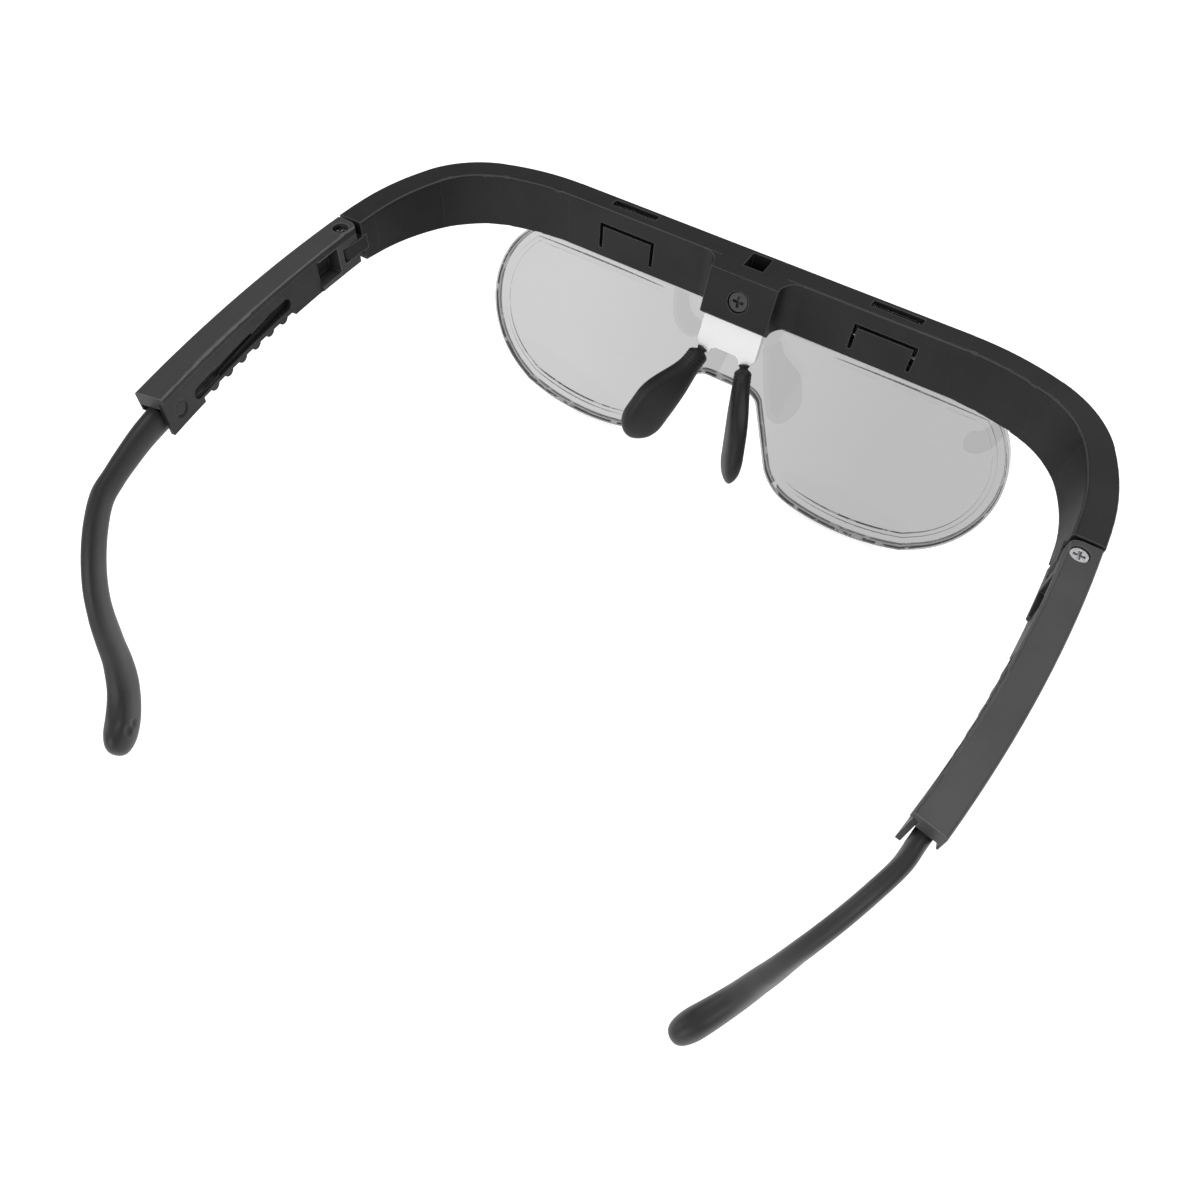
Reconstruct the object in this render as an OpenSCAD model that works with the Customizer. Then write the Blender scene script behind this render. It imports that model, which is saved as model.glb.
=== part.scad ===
// Spectacle-style headband magnifier.
// Working frame: the brow bar's top face is z = 0, its front face is y = 0 and the bridge is x = 0.
// The wearer's left is +X and the temples run towards +Y. placed() stands the whole part on a table.

/* [Brow bar] */
// Overall width over the hinge ends
bar_w = 154.8; // [142:0.2:168]
// Front-to-back thickness of the bar
bar_t = 5.4; // [5.2:0.1:6.6]
// Height of the bar over the lens
bar_h = 11.6; // [11:0.1:14]
// Height of the bar at the hinge end
bar_end_h = 8.2; // [8:0.1:10]
// Outer radius of the first, wide stretch of the corner
corner_r1 = 48; // [40:1:60]
// Outer radius of the tight middle stretch of the corner
corner_r2 = 21.5; // [18:0.5:26]
// Outer radius of the last stretch towards the hinge
corner_r3 = 52; // [40:1:60]
// Turn of the first and of the last stretch, in degrees
corner_turn = 22; // [15:1:28]
// Edge radius of the bar's section
bar_edge_r = 0.5; // [0.3:0.1:1.2]

/* [Hinges] */
// Distance of each hinge axis inside the bar's outer face
hinge_inset = 3.4; // [3:0.1:5]
// Gap between the bar's end and the temple
hinge_gap = 0.8; // [0.5:0.1:1.2]
// Distance of the hinge axis behind the bar's end face
hinge_back = 3.6; // [3.4:0.1:4.4]
// Diameter of the hinge screw's shank
hinge_shank_d = 1.8; // [1.4:0.1:2.2]
// Diameter of the hinge screw's head
hinge_head_d = 3; // [2.6:0.1:3.4]
// How deep the left screw head sits under the ear's top face
left_head_sink = 1; // [0.2:0.1:1.2]
// How deep the right screw head sits under the ear's top face
right_head_sink = 0.3; // [0.2:0.1:1.2]
// Radial running clearance of the lug on the screw
pivot_clear = 0.05; // [0.01:0.01:0.1]
// How far the right temple stands open, in degrees
right_splay = 0.9; // [0:0.1:2]

/* [Temple housings] */
// Length of the housing's chord from the hinge axis to its rear end
housing_l = 55.2; // [50:0.2:64]
// Width of the housing
housing_w = 5.2; // [4.8:0.1:6]
// Height of the housing
housing_h = 8.1; // [8:0.1:10]
// Outward bow of the housing's centreline
housing_bow = 1.3; // [0.8:0.05:1.6]
// Inward angle of the housing's chord
housing_toe = 7.2; // [6:0.1:8.5]
// Edge radius of the housing's section
housing_edge_r = 0.5; // [0.3:0.1:1]

/* [Length adjustment] */
// Pitch of the rack's teeth
notch_pitch = 4.15; // [3.6:0.05:4.4]
// Steps between the shortest and the longest setting
notch_steps = 6; // [4:1:6]
// Steps that the left arm is drawn out
left_notches = 3; // [0:1:4]
// Steps that the right arm is drawn out
right_notches = 0; // [0:1:4]
// Height of the adjusting slot
slot_h = 2; // [1.6:0.1:2.4]
// Thickness of the arm's blade
blade_t = 2; // [1.6:0.1:2.4]
// Height of the arm's blade
blade_h = 4; // [3.6:0.1:4.4]
// Height of the spring tongue's head that shows in the slot
head_h = 1.76; // [1.4:0.02:1.8]
// Clearance round the blade in its channel
blade_clear = 0.12; // [0.08:0.01:0.2]
// Inward angle of the sliding direction
slide_toe = 9; // [8:0.1:10]
// Downward angle of the sliding direction
slide_dip = 3.6; // [2.5:0.1:4]

/* [Lens] */
// Backward lean of the lens and of the nose bracket, in degrees
lean = 15; // [10:0.5:18]
// Half of the lens width
lens_half_w = 63; // [56:0.5:66]
// Height of the lens below the bar, along its own plane
lens_drop = 40; // [36:0.5:46]
// Thickness of the lens plate
lens_t = 2.4; // [2:0.1:2.8]
// Radius of the convex magnifying faces
lens_face_r = 150; // [120:5:260]
// Width of the flat rim round each magnifying face
lens_rim = 2.4; // [1.5:0.1:4]
// Distance of each latch tab from the middle plane
tab_x = 29.2; // [26:0.2:32]
// Width of the latch tabs
tab_w = 10.2; // [8:0.2:12]
// Thickness of the latch tabs
tab_t = 1.8; // [1.4:0.1:2]
// Clearance of the lens in its channel and sockets
lens_clear = 0.15; // [0.1:0.01:0.25]

/* [Nose rest] */
// Half width of the bracket below the block
bracket_half_w = 6.8; // [6:0.1:8]
// Thickness of the bracket
bracket_t = 1.5; // [1.2:0.1:2]
// Clearance of the bracket in its pocket
bracket_clear = 0.1; // [0.05:0.01:0.2]
// Half width of the centre block
block_half_w = 7.4; // [7.2:0.1:9]
// Depth of the centre block at the top face
block_d = 10; // [9.5:0.1:12]
// Backward lean of the block's rear face, in degrees
block_lean = 12; // [8:0.5:16]
// Radius of the block's concave side blends
block_blend_r = 4; // [2:0.5:5]
// Diameter of the bracket screw's head
bracket_head_d = 4; // [3.4:0.1:4.4]
// Length of a nose pad
pad_l = 24; // [20:0.5:28]
// Widest width of a nose pad
pad_w = 10.2; // [9:0.2:13]
// Thickness of a nose pad
pad_t = 4; // [3:0.1:5]
// How far the left pad is turned on its leg, in degrees
left_pad_turn = 12; // [0:1:20]

/* [Ear sleeves] */
// Height of the sleeve's section
sleeve_h = 5.6; // [4.8:0.1:5.8]
// Thickness of the sleeve's section
sleeve_t = 2.8; // [2.6:0.1:3]
// Thickness of the sleeve at its root
sleeve_root_t = 3.2; // [2.8:0.1:3.4]
// Clearance of the sleeve in the housing's trough
sleeve_clear = 0.2; // [0.15:0.05:0.3]
// Height of the bulb at the tip
bulb_h = 7.4; // [6:0.1:9]
// Diameter of the core inside the sleeve
core_d = 1.6; // [1.2:0.1:2]
// Radial clearance between core and sleeve
core_clear = 0.05; // [0.02:0.01:0.1]

/* [Hidden] */
$fn = 96;
eps = 0.01;
far = 60;

// Finishes
black_plastic = "#2b2b2b";
grey_plastic = "#3a3a3a";
soft_black = "#242424";
clear_plastic = [0.82, 0.86, 0.88, 0.45];
frosted_plastic = [0.95, 0.95, 0.95, 0.8];

hinge_x = bar_w / 2 - hinge_inset;
// Plan of the bar: a straight front, then three tangent arcs on each side
mid_turn = 90 - 2 * corner_turn;
arc_a = -90 + corner_turn;
arc_b = arc_a + mid_turn;
corner_dx = corner_r1 * sin(corner_turn) + corner_r2 * (cos(arc_b) - cos(arc_a))
    + corner_r3 * (1 - cos(arc_b));
corner_dy = corner_r1 * (1 - cos(corner_turn)) + corner_r2 * (sin(arc_b) - sin(arc_a))
    - corner_r3 * sin(arc_b);
front_half = bar_w / 2 - corner_dx;
c1 = [front_half, corner_r1];
c2 = c1 + (corner_r1 - corner_r2) * [cos(arc_a), sin(arc_a)];
c3 = c2 + (corner_r2 - corner_r3) * [cos(arc_b), sin(arc_b)];
hinge_y = 42.8;
bar_end_y = hinge_y - hinge_back;
slope_start_y = 11;
// Neighbouring stretches overlap by this turn, and every second one is a hair slimmer
join_turn = 0.1;
join_inset = 0.02;

// Hinge lug and ears
ear_top_t = 2.8;
lug_h = 3;
lug_clear = 0.1;
lug_r = 2.2;
lug_top = -ear_top_t - lug_clear;
ear_bottom_top = lug_top - lug_h - lug_clear;
hinge_head_h = 1.2;
insert_d = 3;
insert_h = 1.5;

// Lens, channel and latch sockets
lens_pivot_z = -bar_h - 0.6;
channel_front = 1.25;
channel_w = tab_t + 2 * lens_clear;
channel_depth = 4.2;
flange_front = channel_front + lens_clear;
lens_foot_y = flange_front + tab_t - 0.3;
flange_top = -bar_h + channel_depth - lens_clear;
flange_half = 53.4;
socket_w = tab_w + 2 * lens_clear;
socket_t = tab_t + 2 * lens_clear;
tab_top = -0.9;
tongue_w = 11.6;
tongue_top = -4.3;
tongue_root = -9.3;
groove = 0.8;

// Centre block, bracket and screw
bracket_exit_y = 10.03;
block_bottom = -10.65;
bracket_top = -3;
block_skin = 1;
screw_z = -5;
screw_shank_d = 1.9;
screw_head_h = 1.1;
screw_sink = 0.3;
screw_l = 6;
screw_clear = 0.03;
square_hole = 4.3;
square_depth = 4.2;

// Nose pads: the axis runs from the bracket's leg to the tip
pad_top = [5.1, 13.2, -17.8];
pad_dir = unit([0.265, 0.565, -0.78]);
pad_face = unit(cross(cross(pad_dir, [-0.87, 0.47, 0.04]), pad_dir));
pad_side = cross(pad_dir, pad_face);
function pad_turned(left) =
    let (a = left ? left_pad_turn : 0)
    [cos(a) * pad_face + sin(a) * pad_side, cos(a) * pad_side - sin(a) * pad_face];
leg_d = 1.5;
leg_in_pad = 15;

// Temple housing: a wide arc through the hinge and the rear end
bow_r = housing_l * housing_l / (8 * housing_bow) + housing_bow / 2;
bow_half_turn = asin(housing_l / 2 / bow_r);
bow_start = housing_toe - bow_half_turn;
bow_end = housing_toe + bow_half_turn;
housing_front = 2.8;
front_turn = housing_front / bow_r * 180 / PI;
// The centreline lies a little outside the hinge axis
axis_offset = 0.55;
arc_origin = [
    hinge_x + axis_offset - bow_r * cos(bow_start),
    hinge_y - bow_r * sin(bow_start)
];
rear = arc_origin + bow_r * [cos(bow_end), sin(bow_end)];

// Sliding frame: origin at the housing's rear end, +Y out of the housing
slide_origin = [rear[0] + 0.3, rear[1], -5.6];
channel_l = 39;
channel_t = blade_t + 2 * blade_clear;
channel_h = blade_h + 2 * blade_clear;
trough_l = 14;
trough_top = sleeve_h / 2 + sleeve_clear;
// The sleeve's root stands this far outside the slide's line
root_out = 0.3;
trough_out = sleeve_root_t / 2 + root_out + sleeve_clear - 0.05;
cover_x = -sleeve_root_t / 2 + root_out - sleeve_clear - 0.1;
rack_x = -channel_t / 2 - 0.08;
cover_top = -1.3;
// Where the slope starts on the rear end, over the slide's line, and its angle
relief_top = 1.6;
relief_slope = 52;
cover_l = 45;
cover_fit = 0.04;
cover_recess = 0.5;
notch_travel = notch_steps * notch_pitch;
slot_start = -36;
slot_end = slot_start + notch_travel + 3.8;
// Place of the head with the arm fully in, and how far it stands proud of the blade
head_first = slot_start - 9.3;
head_proud = 0.35;
tongue_t = 1.2;
tooth_r = 1.3;
tooth_first = -33.1;
rack_start = tooth_first - 3.5;
rack_end = tooth_first + (notch_steps - 1) * notch_pitch + 3.25;
beam_bottom = -6.5;

// Direction of the slide, out of the housing
slide_dir = [
    -sin(slide_toe) * cos(slide_dip),
    cos(slide_toe) * cos(slide_dip),
    -sin(slide_dip)
];
drawn = left_notches * notch_pitch;
out_gap = -0.6;
blade_front = slot_start - 1.6;
// Sideways direction of the slide, away from the head
slide_side = [cos(slide_toe), sin(slide_toe), 0];
// Where the blade ends and the sleeve begins with the arm fully in
sleeve_start = out_gap - left_notches * notch_pitch;
// Springy root: it sags when drawn out, and its end rises a little when it is in
root_sag = [0.3, -0.3, -1.6];
root_lift = [0, 0, 0.4];
// Steps along the ear piece from the root's end to the tip
ear_steps = [
    [0, 0, 0], [-0.6, 3.4, -1.2], [-2, 7.1, -3.6], [-3.6, 10.7, -7], [-5.2, 13.8, -11],
    [-6.5, 16, -15.3], [-7.5, 17.6, -20.1], [-8.6, 19.2, -25.1], [-10.1, 21.6, -29.6],
    [-12.5, 25.4, -32.6], [-15.7, 30.4, -33.6]
];
// Route of the sleeve and of its core, with the arm as it is in the picture
function arm_route(left) =
    let (
        out = (left ? left_notches : right_notches) * notch_pitch,
        bend = left ? root_sag : root_lift,
        side = root_out * slide_side,
        from = slide_origin + (out + sleeve_start) * slide_dir,
        to = slide_origin + (out + sleeve_start + root_l) * slide_dir
    )
    concat(
        [
            from + side,
            mix(from, to, 0.35) + 0.15 * bend + side,
            mix(from, to, 0.7) + 0.55 * bend + 0.6 * side
        ],
        [for (p = ear_steps) to + bend + p]
    );
root_l = 13.4;
sleeve_rings = 38;
sleeve_sides = 16;
core_sides = 8;
core_steps = 30;
core_reach = 0.93;
core_back = 0.9;

// Standing place: lens edges and ear tips rest on the table
stand_z = -lens_pivot_z + lens_drop * cos(lean) + lens_t * sin(lean);
stand_y = 70.3;

// Small helpers
function unit(v) = v / norm(v);
function arc_points(c, r, a0, a1, n) =
    [for (i = [0:n]) c + r * [cos(a0 + (a1 - a0) * i / n), sin(a0 + (a1 - a0) * i / n)]];
function flip(pts) = [for (i = [len(pts) - 1:-1:0]) [-pts[i][0], pts[i][1]]];
function mix(a, b, t) = a + (b - a) * t;
// Catmull-Rom curve through the points p, with s from 0 to 1 over its whole length
function spline(p, s) =
    let (
        n = len(p) - 1,
        k = min(floor(s * n), n - 1),
        t = s * n - k,
        a = p[max(k - 1, 0)],
        b = p[k],
        c = p[k + 1],
        d = p[min(k + 2, n)]
    )
    0.5 * (2 * b + (c - a) * t + (2 * a - 5 * b + 4 * c - d) * t * t
        + (3 * b - a - 3 * c + d) * t * t * t);
function spline_dir(p, s) = unit(spline(p, min(s + 0.004, 1)) - spline(p, max(s - 0.004, 0)));

// Moves the working frame to the table
module placed() {
    translate([0, -stand_y, stand_z]) children();
}

// Mirrors what belongs to the wearer's right
module on_side(left) {
    if (left) children();
    else mirror([1, 0, 0]) children();
}

// Places what belongs to one temple: the right one stands open a little more
module temple_side(left) {
    on_side(left)
        translate([hinge_x, hinge_y, 0])
            rotate([0, 0, left ? 0 : -right_splay])
                translate([-hinge_x, -hinge_y, 0])
                    children();
}

// Rectangle with round corners, its lower left corner at the origin
module round_rect(w, h, r) {
    translate([r, 0]) square([w - 2 * r, h]);
    translate([0, r]) square([w, h - 2 * r]);
    for (x = [r, w - r], y = [r, h - r]) translate([x, y]) circle(r, $fn = 64);
}

// Rod of diameter d between two points
module rod(p, q, d) {
    v = q - p;
    translate(p)
        rotate([0, acos(v[2] / norm(v)), atan2(v[1], v[0])])
            cylinder(d = d, h = norm(v), $fn = 48);
}

// One arc of the bar's section: centre, outer radius, first angle, turn and inset of the section
module bar_arc(c, r, from, turn, inset) {
    translate([c[0], c[1], 0])
        rotate([0, 0, from])
            rotate_extrude(angle = turn, $fn = 240)
                translate([r - bar_t + inset, -bar_h + inset])
                    round_rect(bar_t - 2 * inset, bar_h - 2 * inset, bar_edge_r);
}

// Straight stretch of the bar's section towards +X
module bar_run(l) {
    rotate([90, 0, 90])
        linear_extrude(l)
            translate([0, -bar_h]) round_rect(bar_t, bar_h, bar_edge_r);
}

// The bar's solid form before anything is cut
module bar_form() {
    translate([-front_half - eps, 0, 0]) bar_run(2 * front_half + 2 * eps);
    for (left = [true, false]) on_side(left) {
        bar_arc(c1, corner_r1, -90, corner_turn + join_turn, join_inset);
        bar_arc(c2, corner_r2, arc_a, mid_turn, 0);
        bar_arc(c3, corner_r3, arc_b - join_turn, corner_turn + join_turn, join_inset);
        translate([bar_w / 2, corner_dy - eps, 0])
            rotate([0, 0, 90])
                bar_run(bar_end_y - corner_dy + eps);
    }
}

// Rising lower edge of the bar towards the hinges
module bar_end_slope() {
    rise = bar_h - bar_end_h;
    run = bar_end_y - slope_start_y;
    translate([0, slope_start_y, -bar_h])
        rotate([atan2(rise, run), 0, 0])
            translate([-bar_w, 0, -far]) cube([2 * bar_w, 2 * far, far]);
}

// Plan of the centre block with its concave side blends
module block_plan() {
    depth = block_d + bar_h * tan(block_lean) + 1;
    translate([-block_half_w, bar_t / 2]) square([2 * block_half_w, depth - bar_t / 2]);
    for (side = [-1, 1]) scale([side, 1])
        translate([block_half_w, bar_t - eps])
            difference() {
                square([block_blend_r, block_blend_r]);
                translate([block_blend_r, block_blend_r]) circle(block_blend_r);
            }
}

// Centre block: its rear face leans like the lens
module centre_block() {
    difference() {
        translate([0, 0, block_bottom]) linear_extrude(-block_bottom) block_plan();
        translate([0, block_d, 0])
            rotate([block_lean, 0, 0])
                translate([-far / 2, 0, -far]) cube([far, far, 2 * far]);
        // Bevel under the rear face
        translate([0, block_d - (block_bottom + 1.3) * tan(block_lean), block_bottom + 1.3])
            rotate([-48, 0, 0])
                translate([-far / 2, 0, -far]) cube([far, far, far]);
    }
}

// Frame of the bracket's plane: +X across, +Y up the plane, origin where it leaves the block
module bracket_plane() {
    translate([0, bracket_exit_y, block_bottom])
        rotate([90 + lean, 0, 0])
            children();
}

bracket_rise = (bracket_top - block_bottom) / cos(lean);

// Pocket that takes the bracket's upper plate
module bracket_pocket() {
    bracket_plane()
        translate([-bracket_half_w - bracket_clear, -1, -bracket_t / 2 - bracket_clear])
            cube([
                2 * (bracket_half_w + bracket_clear),
                bracket_rise + 1 + bracket_clear,
                bracket_t + 2 * bracket_clear
            ]);
}

// Frame of the bracket screw: +Z runs out of the block's rear face, origin on the face
module screw_frame() {
    translate([0, block_d - screw_z * tan(block_lean), screw_z])
        rotate([-90 + block_lean, 0, 0])
            children();
}

// Latch socket for a lens tab, open at the top, with its spring tongue cut free
module latch_socket() {
    translate([tab_x - socket_w / 2, channel_front, -bar_h - 1])
        cube([socket_w, socket_t, bar_h + 2]);
    translate([tab_x - tongue_w / 2, channel_front + socket_t / 2, tongue_top])
        cube([tongue_w, far, groove]);
    for (x = [tab_x - tongue_w / 2 - groove, tab_x + tongue_w / 2])
        translate([x, channel_front + socket_t / 2, tongue_root])
            cube([groove, far, tongue_top + groove - tongue_root]);
}

// Hinge lug that the temple's ears straddle
module hinge_lug() {
    translate([0, 0, lug_top - lug_h])
        linear_extrude(lug_h)
            difference() {
                union() {
                    translate([hinge_x, hinge_y]) circle(lug_r);
                    translate([hinge_x - lug_r, bar_end_y - 1]) square([2 * lug_r, hinge_back + 1]);
                }
                translate([hinge_x, hinge_y]) circle(hinge_shank_d / 2 + pivot_clear);
            }
}

// Front moulding: bar, centre block, lens channel, latches and hinge lugs
module brow_bar() placed() color(black_plastic) {
    difference() {
        union() {
            bar_form();
            centre_block();
        }
        bar_end_slope();
        // Lens channel, open below
        translate([-flange_half - lens_clear, channel_front, -bar_h - 1])
            cube([2 * (flange_half + lens_clear), channel_w, channel_depth + 1]);
        // The lower edge is trimmed a little over the lens
        translate([-flange_half - 1, -1, -bar_h - 1])
            cube([2 * flange_half + 2, bar_t + 1, 1.4]);
        for (left = [true, false]) on_side(left) latch_socket();
        bracket_pocket();
        // Square socket in the top face
        translate([-square_hole / 2, 1.1, -square_depth])
            cube([square_hole, square_hole + 0.7, square_depth + 1]);
        // Counterbore and hole of the bracket screw
        screw_frame() {
            translate([0, 0, -screw_head_h - screw_sink])
                cylinder(d = bracket_head_d + 0.5, h = far);
            translate([0, 0, -screw_l - 0.5])
                cylinder(d = screw_shank_d + 2 * screw_clear, h = far);
        }
    }
    for (left = [true, false]) on_side(left) hinge_lug();
}

// Half outline of the lens in its own plane, from the bridge round to the top outer corner
lobe_r = lens_drop * 0.5375;
lobe_c = [lens_half_w - lobe_r, -lens_drop * 0.435];
belly_r = 50;
belly_c = [34 * lens_half_w / 63, -lens_drop + belly_r];
inner_r = 13;
inner_c = [belly_c[0] - 8.2, belly_c[1] - sqrt(pow(belly_r - inner_r, 2) - 8.2 * 8.2)];
arch_top = -lens_drop * 0.4225;
arch_r = 4;
arch_c = [4.6, arch_top - arch_r];
// The same outline moved inwards by the distance o
function half_outline(o) = concat(
    arc_points(arch_c, arch_r + o, 90, 32, 8),
    arc_points(inner_c, inner_r - o, 212, 257, 10),
    arc_points(belly_c, belly_r - o, 258, 289, 12),
    arc_points(lobe_c, lobe_r - o, -58, 54, 34)
);

module lens_outline() {
    polygon(concat(half_outline(0), flip(half_outline(0))));
}

// One magnifying lobe inside its rim
module lobe_outline() {
    intersection() {
        polygon(concat(half_outline(lens_rim), flip(half_outline(lens_rim))));
        translate([arch_c[0] + 4.5, -lens_drop]) square([lens_half_w, lens_drop - 2.6]);
    }
}

// Frame of the lens plane: +X across, +Y up the plane, origin at the bend under the bar
module lens_plane() {
    translate([0, lens_foot_y, lens_pivot_z])
        rotate([90 + lean, 0, 0])
            children();
}

// Lens: leaning double lobe, upright flange and two latch tabs
module magnifier_lens() placed() color(clear_plastic) {
    lens_plane() {
        linear_extrude(lens_t) lens_outline();
        for (side = [0, 1]) mirror([side, 0, 0])
            intersection() {
                linear_extrude(far / 10) lobe_outline();
                translate([lobe_c[0] - 4, lobe_c[1] - 1.5, lens_t + 1.9 - lens_face_r])
                    rotate([90, 0, 0]) sphere(lens_face_r, $fn = 200);
            }
    }
    // Upright flange in the channel
    translate([-flange_half, flange_front, lens_pivot_z - 1])
        cube([2 * flange_half, tab_t, flange_top - lens_pivot_z + 1]);
    for (side = [-1, 1])
        translate([side * tab_x - tab_w / 2, flange_front, flange_top - 1])
            cube([tab_w, tab_t, tab_top - flange_top + 1]);
}

// Half outline of the bracket below the block, in its own plane
bracket_foot = -7.8;
half_bracket = [
    [0, -6.2], [2.2, -6.2], [3.1, -6.7], [3.5, bracket_foot], [5.7, bracket_foot],
    [6, -6.9], [bracket_half_w, -5.6], [bracket_half_w - 0.1, 0]
];

// Clear nose bracket: screwed plate, arch and two legs
module nose_bracket() placed() color(frosted_plastic) {
    difference() {
        union() {
            bracket_plane()
                translate([0, 0, -bracket_t / 2])
                    linear_extrude(bracket_t) {
                        polygon(concat(half_bracket, flip(half_bracket)));
                        translate([-bracket_half_w + 0.1, -eps])
                            square([2 * bracket_half_w - 0.2, bracket_rise]);
                    }
            for (left = [true, false]) on_side(left)
                rod([4.6, 12.1, -17.4], pad_top + leg_in_pad * pad_dir, leg_d);
        }
        screw_frame()
            translate([0, 0, -screw_l - 1]) cylinder(d = screw_shank_d + 0.3, h = far);
    }
}

// Cross recess in a screw head, cut down from z = 0
module cross_recess(w, d) {
    for (a = [0, 90]) rotate([0, 0, a])
        translate([-w / 2, -w / 8, -d]) cube([w, w / 4, d + 1]);
}

// Black screw that holds the bracket in the block
module bracket_screw() placed() color("#1c1c1c") {
    screw_frame()
        translate([0, 0, -screw_sink]) {
            difference() {
                translate([0, 0, -screw_head_h + 0.02]) cylinder(d = bracket_head_d, h = screw_head_h - 0.02);
                cross_recess(2.3, 0.7);
            }
            translate([0, 0, -screw_l + screw_sink])
                cylinder(d = screw_shank_d, h = screw_l - screw_sink - screw_head_h + 0.2);
        }
}

// Width and thickness of the pad along its length, t from 0 at the neck to 1 at the tip
function pad_swell(t) = pow(sin(90 * max(0, min((t - 0.08) / 0.52, 1))), 2);
function pad_half_w(t) = mix(2.5, pad_w / 2, pad_swell(t));
// The leaf swells towards the face only
function pad_shift(t) = 1.9 * pad_swell(t);
function pad_half_t(t) = mix(1.75, pad_t / 2, sin(90 * min(t / 0.4, 1)));
// Round-off at both ends
function pad_end(t) =
    let (a = min(t / 0.05, 1), b = min((1 - t) / 0.24, 1))
    sqrt(max(0.04, 1 - pow(1 - a, 2)) * max(0.012, 1 - pow(1 - b, 2)));
pad_rings = 18;
pad_sides = 16;
// A ring's place steps more closely near the round tip
function pad_t_at(i) = 1 - pow(1 - i / pad_rings, 1.35);

function pad_ring(t, left) =
    let (face = pad_turned(left)[0], side = pad_turned(left)[1])
    [
        for (k = [0:pad_sides - 1])
            let (a = 360 * k / pad_sides)
            pad_top + pad_l * t * pad_dir + pad_shift(t) * side
                + pad_end(t) * (pad_half_w(t) * cos(a) * side + pad_half_t(t) * sin(a) * face)
    ];

// Closed skin over rings of equal length
module skin(rings, sides) {
    n = len(rings);
    points = concat([for (r = rings, p = r) p]);
    faces = concat(
        [for (i = [0:n - 2], k = [0:sides - 1])
            [i * sides + k, i * sides + (k + 1) % sides, (i + 1) * sides + k]],
        [for (i = [0:n - 2], k = [0:sides - 1])
            [(i + 1) * sides + k, i * sides + (k + 1) % sides, (i + 1) * sides + (k + 1) % sides]],
        [[for (k = [sides - 1:-1:0]) k]],
        [[for (k = [0:sides - 1]) (n - 1) * sides + k]]
    );
    polyhedron(points, faces, convexity = 6);
}

// Silicone pad pushed on a leg of the bracket
module nose_pad(left) placed() color(soft_black) on_side(left) {
    difference() {
        skin([for (i = [0:pad_rings]) pad_ring(pad_t_at(i), left)], pad_sides);
        rod([4.6, 12.1, -17.4], pad_top + (leg_in_pad + 0.1) * pad_dir, leg_d + 0.1);
    }
}

module nose_pad_left() nose_pad(true);
module nose_pad_right() nose_pad(false);

// The housing's curved solid, before anything is cut
module housing_form() {
    translate([arc_origin[0], arc_origin[1], 0])
        rotate([0, 0, bow_start - front_turn])
            rotate_extrude(angle = 2 * bow_half_turn + front_turn, $fn = 720)
                translate([bow_r - housing_w / 2, -housing_h])
                    round_rect(housing_w, housing_h, housing_edge_r);
}

// Frame of the slide: origin at the housing's rear end, +Y out along the travel
module slide_frame() {
    translate(slide_origin)
        rotate([0, 0, slide_toe])
            rotate([-slide_dip, 0, 0])
                children();
}

// Frame of the rack: as the slide, but level
module rack_frame() {
    translate([slide_origin[0], slide_origin[1], 0])
        rotate([0, 0, slide_toe])
            children();
}

// Space that the rack cover fills on the inner side of the housing
module cover_space(fit) {
    rack_frame() {
        translate([-far + rack_x + fit, -cover_l - fit, -far])
            cube([far, cover_l - trough_l - 0.3, far + cover_top + fit]);
        translate([-far + cover_x + fit, -cover_l - fit, -far])
            cube([far, cover_l + far, far + cover_top + fit]);
    }
}

// Strip along the housing's inner face, a little behind the edge of the top band
module cover_form() {
    inner = bow_r - housing_w / 2 + cover_recess;
    translate([0, 0, -housing_h])
        linear_extrude(housing_h)
            polygon(concat(
                arc_points(arc_origin, inner, bow_start, bow_end, 36),
                arc_points(arc_origin, bow_r, bow_end, bow_start, 36)
            ));
}

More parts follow.
